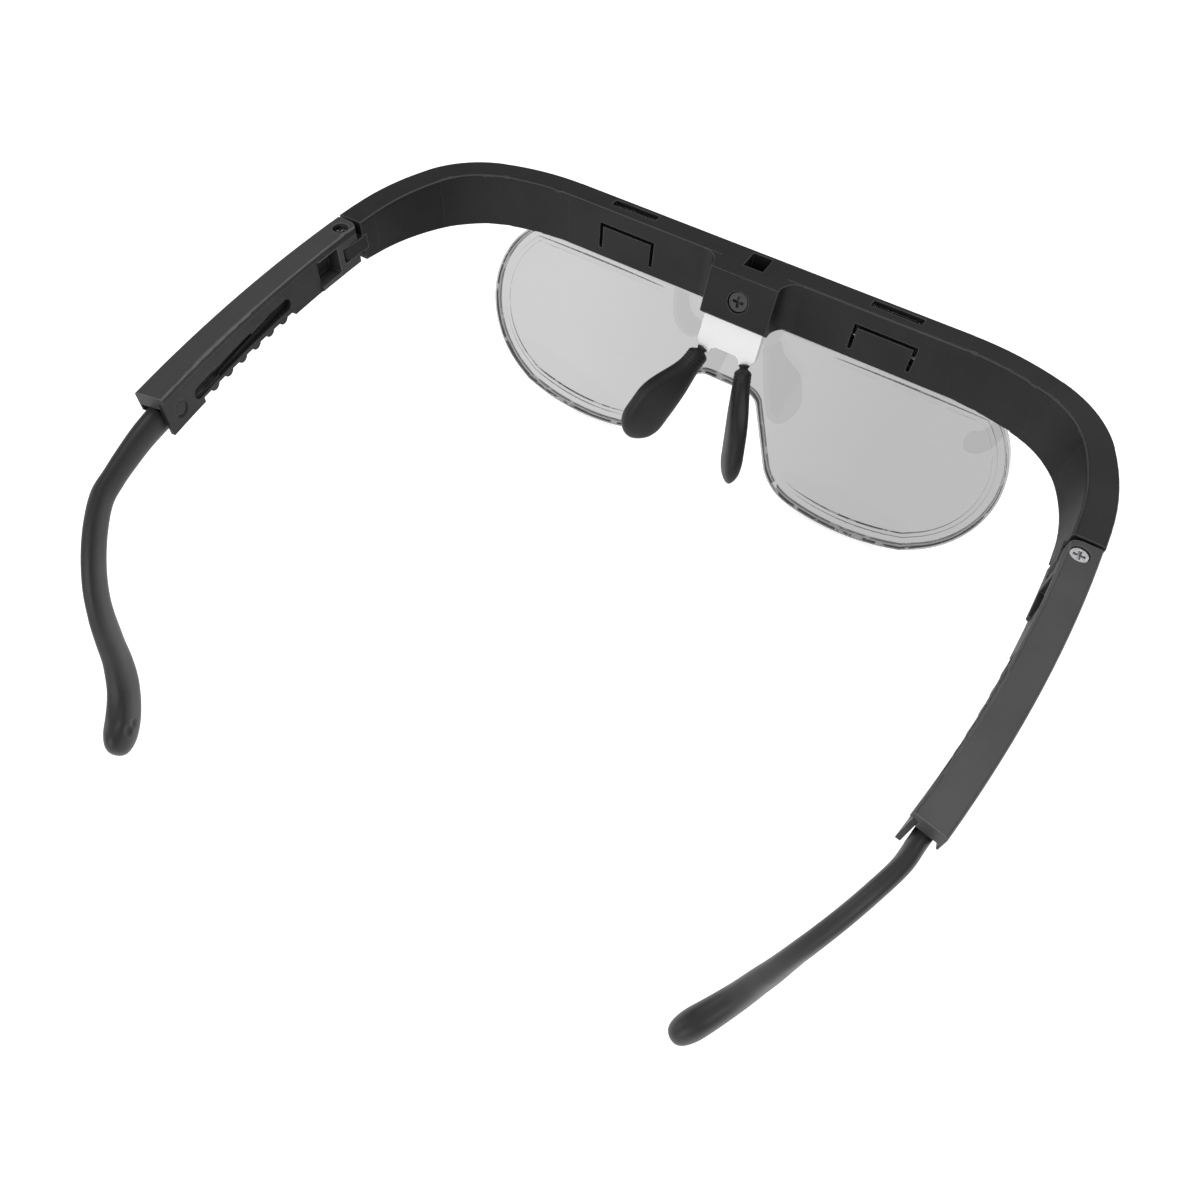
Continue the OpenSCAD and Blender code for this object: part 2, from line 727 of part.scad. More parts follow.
// Outer shell of the temple: ears, channel walls and window
module temple_housing(left) placed() color(grey_plastic) temple_side(left) {
    sink = left ? left_head_sink : right_head_sink;
    difference() {
        housing_form();
        cover_space(cover_fit);
        // Channel of the blade, open towards the rack cover
        slide_frame()
            translate([cover_x - 0.1, -channel_l, -channel_h / 2])
                cube([channel_t / 2 - cover_x + 0.1, channel_l + far, channel_h]);
        // Wider trough behind the rack for the arm's root, open below
        slide_frame()
            translate([cover_x - 0.1, -trough_l, -far])
                cube([trough_out - cover_x + 0.1, trough_l + far, far + trough_top]);
        // Narrow run of the spring tongue in front of the blade
        slide_frame()
            translate([rack_x - 0.1, head_first - head_h / 2 - 0.4, -head_h / 2 - blade_clear])
                cube([
                    -rack_x + 0.1 - blade_t / 2 + tongue_t + blade_clear,
                    blade_front - head_first + 3,
                    head_h + 2 * blade_clear
                ]);
        // The outer wall's rear corner slopes away from the sleeve
        slide_frame()
            translate([0, 0, relief_top]) rotate([relief_slope, 0, 0])
                translate([0, -far / 2, -far]) cube([far, far, far]);
        // The floor is open under the rack
        rack_frame()
            translate([cover_x - 0.1, rack_start - 3, -housing_h - 1])
                cube([channel_t / 2 - cover_x + 0.1, -rack_start + 3, 4.6]);
        // Gap for the hinge lug, open to the front and to the inner side
        translate([0, 0, ear_bottom_top])
            linear_extrude(lug_h + 2 * lug_clear) {
                translate([hinge_x, hinge_y]) circle(lug_r + 0.35);
                translate([hinge_x - far, hinge_y - far])
                    square([far + lug_r + 0.35, far]);
                translate([hinge_x - far, hinge_y - eps]) square([far, lug_r + 0.35]);
            }
        // The ears' inner front corners are round about the hinge axis
        translate([0, 0, -housing_h - 1])
            linear_extrude(housing_h + 2)
                difference() {
                    translate([hinge_x - 5, hinge_y - 5]) square(5);
                    translate([hinge_x, hinge_y]) circle(housing_front);
                }
        // Window behind the hinge
        translate([hinge_x - 4, hinge_y + 4, -7])
            cube([5, 6.2, 5.4]);
        // Screw head, shank and threaded insert
        translate([hinge_x, hinge_y, -sink - hinge_head_h]) cylinder(d = hinge_head_d + 0.3, h = far);
        translate([hinge_x, hinge_y, -far]) cylinder(d = hinge_shank_d + 0.1, h = 2 * far);
        translate([hinge_x, hinge_y, -far - housing_h + insert_h + 0.02])
            cylinder(d = insert_d + 0.02, h = far);
    }
}

module temple_housing_left() temple_housing(true);
module temple_housing_right() temple_housing(false);

// Inner plate of the temple: slotted beam with a row of round teeth below
module rack_cover(left) placed() color(grey_plastic) temple_side(left) {
    difference() {
        intersection() {
            cover_form();
            cover_space(0);
        }
        // Adjusting slot, along the slide
        slide_frame()
            rotate([0, -90, 0])
                linear_extrude(far / 2, center = true) {
                    translate([-slot_h / 2, slot_start + slot_h / 2])
                        square([slot_h, slot_end - slot_start - slot_h]);
                    for (y = [slot_start + slot_h / 2, slot_end - slot_h / 2])
                        translate([0, y]) circle(slot_h / 2);
                }
        // Groove in the back of the plate that lets the head pass in front of the slot
        slide_frame()
            translate([rack_x - head_proud, head_first - head_h / 2 - 0.4, -head_h / 2 - blade_clear])
                cube([far, slot_start - head_first + 3, head_h + 2 * blade_clear]);
        // Teeth: what hangs below the beam is cut away round each of them
        rack_frame()
            rotate([0, -90, 0])
                linear_extrude(far / 2, center = true)
                    difference() {
                        translate([-housing_h - 1, rack_start])
                            square([housing_h + 1 + beam_bottom, rack_end - rack_start]);
                        for (i = [0:notch_steps - 1])
                            translate([beam_bottom - 0.1, tooth_first + i * notch_pitch])
                                circle(tooth_r);
                    }
        // Shallow round moulding mark near the rear end
        rack_frame()
            translate([-far / 2 - housing_w / 2 - 0.75, -4.2, -4.6])
                rotate([0, 90, 0]) cylinder(r = 1.5, h = far / 2);
    }
}

module rack_cover_left() rack_cover(true);
module rack_cover_right() rack_cover(false);

// Chromed hinge screw with a cross recess
module hinge_screw(left) placed() color("#b8bcc0") temple_side(left) {
    sink = left ? left_head_sink : right_head_sink;
    translate([hinge_x, hinge_y, -sink]) {
        difference() {
            translate([0, 0, -hinge_head_h + 0.02]) cylinder(d = hinge_head_d, h = hinge_head_h - 0.02);
            cross_recess(1.9, 0.6);
        }
        translate([0, 0, -housing_h + sink + 0.2])
            cylinder(d = hinge_shank_d, h = housing_h - sink - 0.2 - hinge_head_h + 0.2);
    }
}

module hinge_screw_left() hinge_screw(true);
module hinge_screw_right() hinge_screw(false);

// Brass insert that takes the screw's thread in the lower ear
module hinge_insert(left) placed() color("#b5893c") temple_side(left) {
    translate([hinge_x, hinge_y, -housing_h + 0.1])
        difference() {
            cylinder(d = insert_d, h = insert_h - 0.1);
            translate([0, 0, -1]) cylinder(d = hinge_shank_d + 0.04, h = insert_h + 2);
        }
}

module hinge_insert_left() hinge_insert(true);
module hinge_insert_right() hinge_insert(false);

// Draws an arm out by its notches
module arm_place(left) {
    steps = left ? left_notches : right_notches;
    temple_side(left) translate(steps * notch_pitch * slide_dir) children();
}

// Ring across a route at s, with its half height and half thickness
function ring(route, s, hh, ht, sides) =
    let (
        p = spline(route, s),
        d = spline_dir(route, s),
        side = unit(cross(d, [0, 0, 1])),
        up = cross(side, d)
    )
    [for (k = [0:sides - 1])
        let (a = 360 * k / sides)
        p + hh * cos(a) * up - ht * sin(a) * side];

// Section of the sleeve: slim in the middle, then a bulb that rounds off at the tip
function sleeve_half_h(s) =
    s < 0.7
        ? mix(sleeve_h / 2, sleeve_h / 2 - 0.5, sin(180 * s / 0.7))
        : mix(sleeve_h / 2, bulb_h / 2, pow(sin(90 * min((s - 0.7) / 0.24, 1)), 1.5));
function sleeve_half_t(s) =
    s < 0.6
        ? mix(sleeve_root_t, sleeve_t, min(s / 0.22, 1)) / 2 - 0.1 * sin(180 * s / 0.6)
        : mix(sleeve_t / 2, 2.3, pow(min((s - 0.6) / 0.34, 1), 1.3));
function sleeve_end(s) =
    let (b = min((1 - s) / 0.055, 1))
    sqrt(max(0.01, 1 - pow(1 - b, 2)));
function ring_place(i) = 1 - pow(1 - i / sleeve_rings, 1.3);

// Core of an arm: it starts a little inside the blade
function core_rings(left, r) =
    let (route = arm_route(left))
    concat(
        [[for (p = ring(route, 0, r, r, core_sides)) p - core_back * slide_dir]],
        [for (i = [1:core_steps]) ring(route, core_reach * i / core_steps, r, r, core_sides)]
    );

// Rigid arm: blade, spring tongue with its head, and the core that runs on inside the sleeve
module temple_arm(left) placed() color(soft_black) {
    arm_place(left) slide_frame() {
        translate([-blade_t / 2, blade_front, -blade_h / 2])
            cube([blade_t, sleeve_start - 0.05 - blade_front, blade_h]);
        // Spring tongue with a round head that stands into the slot
        translate([-blade_t / 2, head_first, -head_h / 2])
            cube([tongue_t, blade_front - head_first + eps, head_h]);
        translate([-blade_t / 2 - head_proud, head_first, 0])
            rotate([0, 90, 0]) cylinder(d = head_h, h = head_proud + tongue_t, $fn = 48);
    }
    temple_side(left) skin(core_rings(left, core_d / 2), core_sides);
}

module temple_arm_left() temple_arm(true);
module temple_arm_right() temple_arm(false);

// Soft sleeve over the core, from the blade to the tip behind the ear
module ear_sleeve(left) placed() color(soft_black) temple_side(left) {
    route = arm_route(left);
    difference() {
        skin([for (i = [0:sleeve_rings])
            let (s = ring_place(i))
            ring(route, s, sleeve_half_h(s) * sleeve_end(s), sleeve_half_t(s) * sleeve_end(s), sleeve_sides)],
            sleeve_sides);
        skin(core_rings(left, core_d / 2 + core_clear), core_sides);
    }
}

module ear_sleeve_left() ear_sleeve(true);
module ear_sleeve_right() ear_sleeve(false);

brow_bar();
magnifier_lens();
nose_bracket();
bracket_screw();
nose_pad_left();
nose_pad_right();
temple_housing_left();
temple_housing_right();
rack_cover_left();
rack_cover_right();
hinge_screw_left();
hinge_screw_right();
hinge_insert_left();
hinge_insert_right();
temple_arm_left();
temple_arm_right();
ear_sleeve_left();
ear_sleeve_right();
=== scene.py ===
"""Looks of the headband magnifier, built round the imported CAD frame.

Everything is in metres in the part's own frame: +X to the wearer's left, +Y to the wearer's back, +Z up.
"""
import math

import bmesh
import bpy
import numpy as np
from mathutils import Matrix, Vector


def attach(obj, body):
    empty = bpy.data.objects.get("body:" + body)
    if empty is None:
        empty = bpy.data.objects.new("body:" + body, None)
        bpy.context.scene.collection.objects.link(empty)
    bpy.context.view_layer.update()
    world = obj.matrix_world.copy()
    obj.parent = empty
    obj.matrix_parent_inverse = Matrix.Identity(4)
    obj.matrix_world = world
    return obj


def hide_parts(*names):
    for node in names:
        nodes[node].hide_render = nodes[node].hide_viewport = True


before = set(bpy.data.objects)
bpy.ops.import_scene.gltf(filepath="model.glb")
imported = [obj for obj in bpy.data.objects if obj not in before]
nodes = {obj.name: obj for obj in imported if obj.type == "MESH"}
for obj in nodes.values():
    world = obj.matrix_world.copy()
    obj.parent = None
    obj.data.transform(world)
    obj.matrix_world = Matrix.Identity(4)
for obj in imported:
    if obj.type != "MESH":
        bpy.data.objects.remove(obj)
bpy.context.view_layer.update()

MM = 0.001
# The part's source works from the bar's front top edge; this moves its points to the table
STAND = np.array([0.0, -70.3, 51.458])


def shown(name, data):
    """An object with that data, put in the scene."""
    thing = bpy.data.objects.new(name, data)
    bpy.context.scene.collection.objects.link(thing)
    return thing


# Camera: the photograph's own view, with its focal length in the photograph's pixels
VIEW_AZIMUTH, VIEW_ELEVATION, VIEW_ROLL = 207.153, 55.181, 5.17
VIEW_TARGET = Vector((-16.308, 20.968, 51.458)) * MM
VIEW_DISTANCE = 124.643 * MM
FOCAL_PIXELS, PHOTO_PIXELS = 866.66, 1200
SENSOR_WIDTH = 36


def place_camera():
    """Centre = target + distance * back; the frame is turned by roll about the line of sight."""
    azimuth, elevation, roll = (math.radians(a) for a in (VIEW_AZIMUTH, VIEW_ELEVATION, VIEW_ROLL))
    back = Vector((
        math.sin(azimuth) * math.cos(elevation),
        -math.cos(azimuth) * math.cos(elevation),
        math.sin(elevation),
    ))
    right = (-back).cross(Vector((0, 0, 1))).normalized()
    up = right.cross(-back)
    turned_right = math.cos(roll) * right + math.sin(roll) * up
    turned_up = -math.sin(roll) * right + math.cos(roll) * up
    data = bpy.data.cameras.new("camera")
    data.sensor_width = SENSOR_WIDTH
    data.lens = SENSOR_WIDTH * FOCAL_PIXELS / PHOTO_PIXELS
    data.clip_start = 0.01
    data.clip_end = 20
    camera = shown("camera", data)
    turn = Matrix((turned_right, turned_up, back)).transposed().to_4x4()
    camera.matrix_world = Matrix.Translation(VIEW_TARGET + back * VIEW_DISTANCE) @ turn
    bpy.context.scene.camera = camera


place_camera()


# Shader tools

FLOAT, VECTOR = "NodeSocketFloat", "NodeSocketVector"
PLASTIC_IOR = 1.49


def add(tree, kind, **settings):
    """A node of that kind, with its settings and its named or numbered inputs filled in."""
    node = tree.nodes.new(kind)
    inputs = settings.pop("inputs", {})
    for key, value in settings.items():
        setattr(node, key, value)
    for key, value in inputs.items():
        node.inputs[key].default_value = value
    return node


def new_group(name, takes, gives):
    """An empty shader group with its sockets; a socket it takes may have a value of its own."""
    group = bpy.data.node_groups.new(name, "ShaderNodeTree")
    for label, kind, value in takes:
        socket = group.interface.new_socket(name=label, in_out="INPUT", socket_type=kind)
        if value is not None:
            socket.default_value = value
    for label, kind in gives:
        group.interface.new_socket(name=label, in_out="OUTPUT", socket_type=kind)
    return group


def grey(value):
    """A colour with the same red, green and blue."""
    return (value, value, value)


def noise(tree, place, scale, detail, roughness=0.5):
    """Noise from 0 to 1 over that place."""
    node = add(
        tree, "ShaderNodeTexNoise",
        inputs={"Scale": scale, "Detail": detail, "Roughness": roughness},
    )
    tree.links.new(place, node.inputs["Vector"])
    return node.outputs["Fac"]


def calculate(tree, operation, *terms):
    """One step of arithmetic over terms, each a float or an output of a node."""
    node = add(tree, "ShaderNodeMath", operation=operation)
    for i, term in enumerate(terms):
        if isinstance(term, float):
            node.inputs[i].default_value = term
        else:
            tree.links.new(term, node.inputs[i])
    return node.outputs[0]


def between(tree, value, first, last):
    """Mask that rises evenly from 0 at the first value to 1 at the last one, and is level outside them."""
    spread = add(tree, "ShaderNodeMapRange", inputs={"From Min": first, "From Max": last})
    tree.links.new(value, spread.inputs["Value"])
    return spread.outputs[0]


def mixed_value(tree, mask, low, high):
    """Value from low to high by a mask."""
    spread = add(tree, "ShaderNodeMapRange", inputs={"To Min": low, "To Max": high})
    tree.links.new(mask, spread.inputs["Value"])
    return spread.outputs[0]


def mixed_colour(tree, mask, low, high):
    """Colour from low to high by a mask."""
    mix = add(tree, "ShaderNodeMix", data_type="RGBA")
    mix.inputs[6].default_value = (*low, 1)
    mix.inputs[7].default_value = (*high, 1)
    tree.links.new(mask, mix.inputs[0])
    return mix.outputs[2]


def painted(tree, mask, base, colour):
    """The base colour, with another colour over it by a mask."""
    mix = add(tree, "ShaderNodeMix", data_type="RGBA")
    mix.inputs[7].default_value = (*colour, 1)
    tree.links.new(mask, mix.inputs[0])
    tree.links.new(base, mix.inputs[6])
    return mix.outputs[2]


def axes_of(tree, source):
    """X, Y and Z of the object's own place or normal."""
    here = add(tree, "ShaderNodeTexCoord")
    split = add(tree, "ShaderNodeSeparateXYZ")
    tree.links.new(here.outputs[source], split.inputs[0])
    return split.outputs


def make_moulded_grain():
    """Height of a spark-eroded mould: a fine cell grain on a slow ripple, and a slow smudge mask."""
    group = new_group(
        "moulded_grain",
        [("Vector", VECTOR, None), ("Grain Size", FLOAT, 0.0002), ("Ripple", FLOAT, 0.3)],
        [("Height", FLOAT), ("Smudge", FLOAT)],
    )
    take = add(group, "NodeGroupInput")
    give = add(group, "NodeGroupOutput")
    link = group.links.new
    place = take.outputs["Vector"]
    fine = add(group, "ShaderNodeTexNoise", inputs={"Detail": 2.0, "Roughness": 0.6})
    link(place, fine.inputs["Vector"])
    link(calculate(group, "DIVIDE", 1.0, take.outputs["Grain Size"]), fine.inputs["Scale"])
    slow = noise(group, place, scale=260.0, detail=2.0)
    ripple = calculate(group, "MULTIPLY", slow, take.outputs["Ripple"])
    link(calculate(group, "ADD", fine.outputs["Fac"], ripple), give.inputs["Height"])
    cloud = noise(group, place, scale=70.0, detail=4.0, roughness=0.55)
    link(between(group, cloud, 0.35, 0.7), give.inputs["Smudge"])
    return group


def make_soft_edge():
    """Edges rounded by a small radius: the rounded normal, and a mask that is 1 on the edge."""
    group = new_group(
        "soft_edge",
        [("Radius", FLOAT, 0.0002), ("Normal", VECTOR, None)],
        [("Normal", VECTOR), ("Edge", FLOAT)],
    )
    take = add(group, "NodeGroupInput")
    give = add(group, "NodeGroupOutput")
    link = group.links.new
    bevel = add(group, "ShaderNodeBevel", samples=6)
    link(take.outputs["Radius"], bevel.inputs["Radius"])
    link(take.outputs["Normal"], bevel.inputs["Normal"])
    surface = add(group, "ShaderNodeNewGeometry")
    dot = add(group, "ShaderNodeVectorMath", operation="DOT_PRODUCT")
    link(bevel.outputs[0], dot.inputs[0])
    link(surface.outputs["Normal"], dot.inputs[1])
    link(bevel.outputs[0], give.inputs["Normal"])
    link(between(group, dot.outputs["Value"], 0.98, 0.75), give.inputs["Edge"])
    return group


moulded_grain = make_moulded_grain()
soft_edge = make_soft_edge()


def start_material(name):
    """A material with its Principled shader, output and Object coordinates."""
    material = bpy.data.materials.new(name)
    material.use_nodes = True
    tree = material.node_tree
    tree.nodes.clear()
    shader = add(tree, "ShaderNodeBsdfPrincipled")
    output = add(tree, "ShaderNodeOutputMaterial")
    tree.links.new(shader.outputs[0], output.inputs["Surface"])
    place = add(tree, "ShaderNodeTexCoord")
    return material, tree, shader, place.outputs["Object"]


def soften(tree, shader, edge_radius, height=None, strength=0.0, distance=0.0):
    """Rounds the shader's edges, over a bump where a height is given, and returns the edge mask."""
    shape = add(tree, "ShaderNodeGroup", node_tree=soft_edge, inputs={"Radius": edge_radius})
    if height is not None:
        relief = add(tree, "ShaderNodeBump", inputs={"Strength": strength, "Distance": distance})
        tree.links.new(height, relief.inputs["Height"])
        tree.links.new(relief.outputs[0], shape.inputs["Normal"])
    tree.links.new(shape.outputs["Normal"], shader.inputs["Normal"])
    return shape.outputs["Edge"]


# This mask carries the painted highlight on the rounded upper edges.
def slant_mask(tree):
    """1 where a face looks up at a slant, and 0 where it is level, upright or looks down."""
    looks = axes_of(tree, "Normal")
    off = calculate(tree, "ABSOLUTE", calculate(tree, "SUBTRACT", looks["Z"], 0.66))
    return between(tree, off, 0.3, 0.16)


# Mask of the painted shadow under the housings' lip.
def lip_shadow_mask(tree, low, high):
    """1 on a temple's inner side between two heights: there x and the normal's x have opposite signs."""
    where = axes_of(tree, "Object")
    looks = axes_of(tree, "Normal")
    inner = calculate(tree, "MULTIPLY", calculate(tree, "SIGN", where["X"]), looks["X"])
    inward = between(tree, inner, -0.6, -0.85)
    over = between(tree, where["Z"], low, low + 0.00006)
    under = between(tree, where["Z"], high, high - 0.00012)
    return calculate(tree, "MULTIPLY", calculate(tree, "MULTIPLY", over, under), inward)


# Mask of the painted shade in dents.
def dent_shadow_mask(tree):
    """1 in the depth of a dent, by the piece's own dent attribute."""
    dent = add(tree, "ShaderNodeAttribute", attribute_name="dent")
    return between(tree, dent.outputs["Fac"], 0.05, 0.45)


# Materials

GRAIN_DEPTH = 0.00004
# Greys of the painted shade under a lip and in a dent
LIP_SHADE, DENT_SHADE = 0.004, 0.002
# How far a smudge takes the roughness up or down
SMUDGE = 0.04
# Lower and upper height of the painted shadow strip under the housings' lip
HOUSING_LIP_SHADOW = (0.0501, 0.0511)


def moulded_plastic(name, dark, light, rough, grain, bump, edge, edge_radius, specular,
                    fillet_highlight=None, lip=None, shaded_dents=False):
    """Moulded plastic: spark-eroded grain, faint handling smudges and a painted highlight along its edges.

    Dark, light, edge and fillet are greys. The edge grey is a painted highlight on the edges. With fillet,
    faces that look up at a slant take that grey as a painted highlight: they are the rounded upper edges.
    With lip, the inner side is painted nearly black between those two heights, as painted shade under a
    moulded lip.
    With pits, the surface is painted nearly black in a dent, as painted shade.
    """
    material, tree, shader, place = start_material(name)
    link = tree.links.new
    skin = add(tree, "ShaderNodeGroup", node_tree=moulded_grain, inputs={"Grain Size": grain})
    link(place, skin.inputs["Vector"])
    edge_mask = soften(tree, shader, edge_radius, skin.outputs["Height"], bump, GRAIN_DEPTH)
    finish = mixed_colour(tree, skin.outputs["Smudge"], grey(dark), grey(light))
    # The edge grey is a painted highlight along the edges.
    finish = painted(tree, edge_mask, finish, grey(edge))
    # The fillet grey is a painted highlight on faces that look up at a slant.
    if fillet_highlight:
        finish = painted(tree, slant_mask(tree), finish, grey(fillet_highlight))
    # Painted shadow: the inner side nearly black under the housings' lip.
    if lip:
        finish = painted(tree, lip_shadow_mask(tree, *lip), finish, grey(LIP_SHADE))
    # Painted shade: nearly black in the depth of a dent.
    if shaded_dents:
        finish = painted(tree, dent_shadow_mask(tree), finish, grey(DENT_SHADE))
    link(finish, shader.inputs["Base Color"])
    roughness = mixed_value(tree, skin.outputs["Smudge"], rough + SMUDGE, rough - SMUDGE)
    link(roughness, shader.inputs["Roughness"])
    shader.inputs["IOR"].default_value = PLASTIC_IOR
    shader.inputs["Specular IOR Level"].default_value = specular
    return material


bar_plastic = moulded_plastic(
    "bar_plastic", dark=0.009, light=0.013, rough=0.48, grain=0.00022, bump=0.3,
    edge=0.12, edge_radius=0.0004, specular=0.25, fillet_highlight=0.05,
)
temple_plastic = moulded_plastic(
    "temple_plastic", dark=0.036, light=0.043, rough=0.5, grain=0.0002, bump=0.25,
    edge=0.2, edge_radius=0.0003, specular=0.38, fillet_highlight=0.1, lip=HOUSING_LIP_SHADOW,
)
plate_plastic = moulded_plastic(
    "plate_plastic", dark=0.011, light=0.015, rough=0.5, grain=0.0002, bump=0.25,
    edge=0.05, edge_radius=0.00015, specular=0.35,
)
web_plastic = moulded_plastic(
    "web_plastic", dark=0.006, light=0.008, rough=0.6, grain=0.0002, bump=0.2,
    edge=0.01, edge_radius=0.0001, specular=0.2,
)
arm_plastic = moulded_plastic(
    "arm_plastic", dark=0.02, light=0.025, rough=0.42, grain=0.00025, bump=0.15,
    edge=0.035, edge_radius=0.00015, specular=0.4,
)
sleeve_rubber = moulded_plastic(
    "sleeve_rubber", dark=0.018, light=0.024, rough=0.46, grain=0.0003, bump=0.12,
    edge=0.03, edge_radius=0.0001, specular=0.38, shaded_dents=True,
)
pad_silicone = moulded_plastic(
    "pad_silicone", dark=0.01, light=0.014, rough=0.48, grain=0.00016, bump=0.3,
    edge=0.03, edge_radius=0.0001, specular=0.3, shaded_dents=True,
)


# The lens leans back from upright by this much, so its faces look along this line
LENS_LEAN = math.radians(15)
LENS_AXIS = (0.0, math.cos(LENS_LEAN), math.sin(LENS_LEAN))
# The barbs on top of the lens are painted dark between these two heights: painted shade inside the bar's
# black channel
BARB_SHADE_LOW, BARB_SHADE_HIGH = 0.0488, 0.0494
# Greys of the painted lines of light and shade on the lens rim, from its front face, at 0, to its rear face,
# at 1, and how strongly that painted light glows
RIM_GLOW = 0.15
RIM_LINES = (
    (0.0, 0.05), (0.1, 0.08), (0.17, 0.4), (0.34, 0.35), (0.4, 1.0),
    (0.48, 0.9), (0.54, 0.05), (0.74, 0.05), (0.84, 0.6), (1.0, 0.5),
)


def clear_acrylic():
    """Clear acrylic lens: polished faces under a painted grey shade, a little deeper on the wearer's right.

    The tips of its barbs are painted dark, as painted shade inside the bar's channel.
    """
    material, tree, shader, place = start_material("clear_acrylic")
    wave = noise(tree, place, scale=45.0, detail=1.0)
    soften(tree, shader, 0.00045, wave, 0.02, 0.0002)
    where = axes_of(tree, "Object")
    # The grey over the clear lens is painted shade, lighter towards the wearer's left.
    across = between(tree, where["X"], -0.035, 0.04)
    painted_lens_shade = mixed_colour(tree, across, grey(0.47), grey(0.59))
    # The tips of the barbs are painted dark as the shade inside the bar's channel.
    tip = between(tree, where["Z"], BARB_SHADE_LOW, BARB_SHADE_HIGH)
    tree.links.new(painted(tree, tip, painted_lens_shade, grey(0.08)), shader.inputs["Base Color"])
    shader.inputs["Roughness"].default_value = 0.0
    shader.inputs["IOR"].default_value = PLASTIC_IOR
    shader.inputs["Transmission Weight"].default_value = 1.0
    return material


def painted_rim_light(front, rear):
    """Rim of the lens: painted lines of light and shade that waver along it, with a few painted white glints,
    all glowing a little as painted light.

    Front and rear are how far its two edges lie along the lens axis.
    """
    material, tree, shader, place = start_material("painted_rim_light")
    link = tree.links.new
    depth = add(tree, "ShaderNodeVectorMath", operation="DOT_PRODUCT", inputs={1: LENS_AXIS})
    link(place, depth.inputs[0])
    sway = 0.12 * (rear - front)
    drift = mixed_value(tree, noise(tree, place, scale=160.0, detail=2.0), -sway, sway)
    share = between(tree, calculate(tree, "ADD", depth.outputs["Value"], drift), front, rear)
    ramp = add(tree, "ShaderNodeValToRGB")
    stops = ramp.color_ramp.elements
    stops[0].color = (*grey(RIM_LINES[0][1]), 1)
    stops[1].color = (*grey(RIM_LINES[-1][1]), 1)
    for position, value in RIM_LINES[1:-1]:
        stops.new(position).color = (*grey(value), 1)
    link(share, ramp.inputs[0])
    # Painted white glints.
    sparkle = between(tree, noise(tree, place, scale=380.0, detail=3.0), 0.56, 0.62)
    lit = painted(tree, sparkle, ramp.outputs["Color"], grey(1))
    link(lit, shader.inputs["Base Color"])
    # The rim's colour also glows a little: painted light.
    link(lit, shader.inputs["Emission Color"])
    shader.inputs["Emission Strength"].default_value = RIM_GLOW
    shader.inputs["Roughness"].default_value = 0.25
    return material


def milky_plastic():
    """Milky moulding of the nose bracket: white under a polished skin, with grey edges."""
    material, tree, shader, place = start_material("milky_plastic")
    link = tree.links.new
    cloud = noise(tree, place, scale=300.0, detail=3.0)
    edge_mask = soften(tree, shader, 0.00025)
    body = mixed_colour(tree, cloud, grey(0.9), grey(0.96))
    link(painted(tree, edge_mask, body, grey(0.3)), shader.inputs["Base Color"])
    link(mixed_value(tree, cloud, 0.1, 0.2), shader.inputs["Roughness"])
    shader.inputs["IOR"].default_value = PLASTIC_IOR
    shader.inputs["Coat Weight"].default_value = 0.3
    return material


def screw_metal(name, colour, rough, metallic):
    """Metal of a screw or an insert: finely speckled in colour, height and polish."""
    material, tree, shader, place = start_material(name)
    link = tree.links.new
    speck = noise(tree, place, scale=1800.0, detail=3.0)
    soften(tree, shader, 0.00012, speck, 0.15, 0.00003)
    dim = tuple(c * 0.75 for c in colour)
    link(mixed_colour(tree, speck, dim, colour), shader.inputs["Base Color"])
    link(mixed_value(tree, speck, rough - 0.06, rough + 0.06), shader.inputs["Roughness"])
    shader.inputs["Metallic"].default_value = metallic
    return material


lens_acrylic = clear_acrylic()
bracket_plastic = milky_plastic()
plated_steel = screw_metal("plated_steel", (0.48, 0.48, 0.49), 0.26, 1.0)
black_steel = screw_metal("black_steel", (0.06, 0.06, 0.06), 0.35, 0.6)
turned_brass = screw_metal("turned_brass", (0.62, 0.45, 0.2), 0.3, 1.0)


def dress(name, material):
    """Gives a CAD node its finish in every material slot."""
    slots = nodes[name].data.materials
    if not slots:
        slots.append(material)
    for i in range(len(slots)):
        slots[i] = material


dress("brow_bar", bar_plastic)
dress("magnifier_lens", lens_acrylic)
dress("nose_bracket", bracket_plastic)
dress("bracket_screw", black_steel)
for side in ("left", "right"):
    dress("nose_pad_" + side, pad_silicone)
    dress("temple_housing_" + side, temple_plastic)
    dress("rack_cover_" + side, plate_plastic)
    dress("hinge_screw_" + side, plated_steel)
    dress("hinge_insert_" + side, turned_brass)
    dress("temple_arm_" + side, arm_plastic)
    dress("ear_sleeve_" + side, sleeve_rubber)


# Soft pieces, each worked out as one array of points: rings by sides


def unit(v):
    """A vector, or each row of vectors, scaled to length one."""
    v = np.asarray(v, float)
    return v / np.linalg.norm(v, axis=-1, keepdims=True)


def mix(a, b, t):
    """From a to b while t goes from 0 to 1."""
    return a + (b - a) * t


def rise(t, first, last):
    """0 before first, 1 after last, and a half cosine between them."""
    t = np.clip((np.asarray(t, float) - first) / (last - first), 0, 1)
    return 0.5 - 0.5 * np.cos(math.pi * t)


def curve_through(points, s):
    """Points of a smooth curve at s from 0 to 1.

    Between two given points it is a cubic, whose slope at each of them is half the step between that point's
    neighbours.
    """
    spans = len(points) - 1
    k = np.minimum(np.floor(s * spans).astype(int), spans - 1)
    t = (s * spans - k)[:, None]
    a = points[np.maximum(k - 1, 0)]
    b = points[k]
    c = points[k + 1]
    d = points[np.minimum(k + 2, spans)]
    return 0.5 * (
        2 * b + (c - a) * t + (2 * a - 5 * b + 4 * c - d) * t**2 + (3 * b - a - 3 * c + d) * t**3
    )


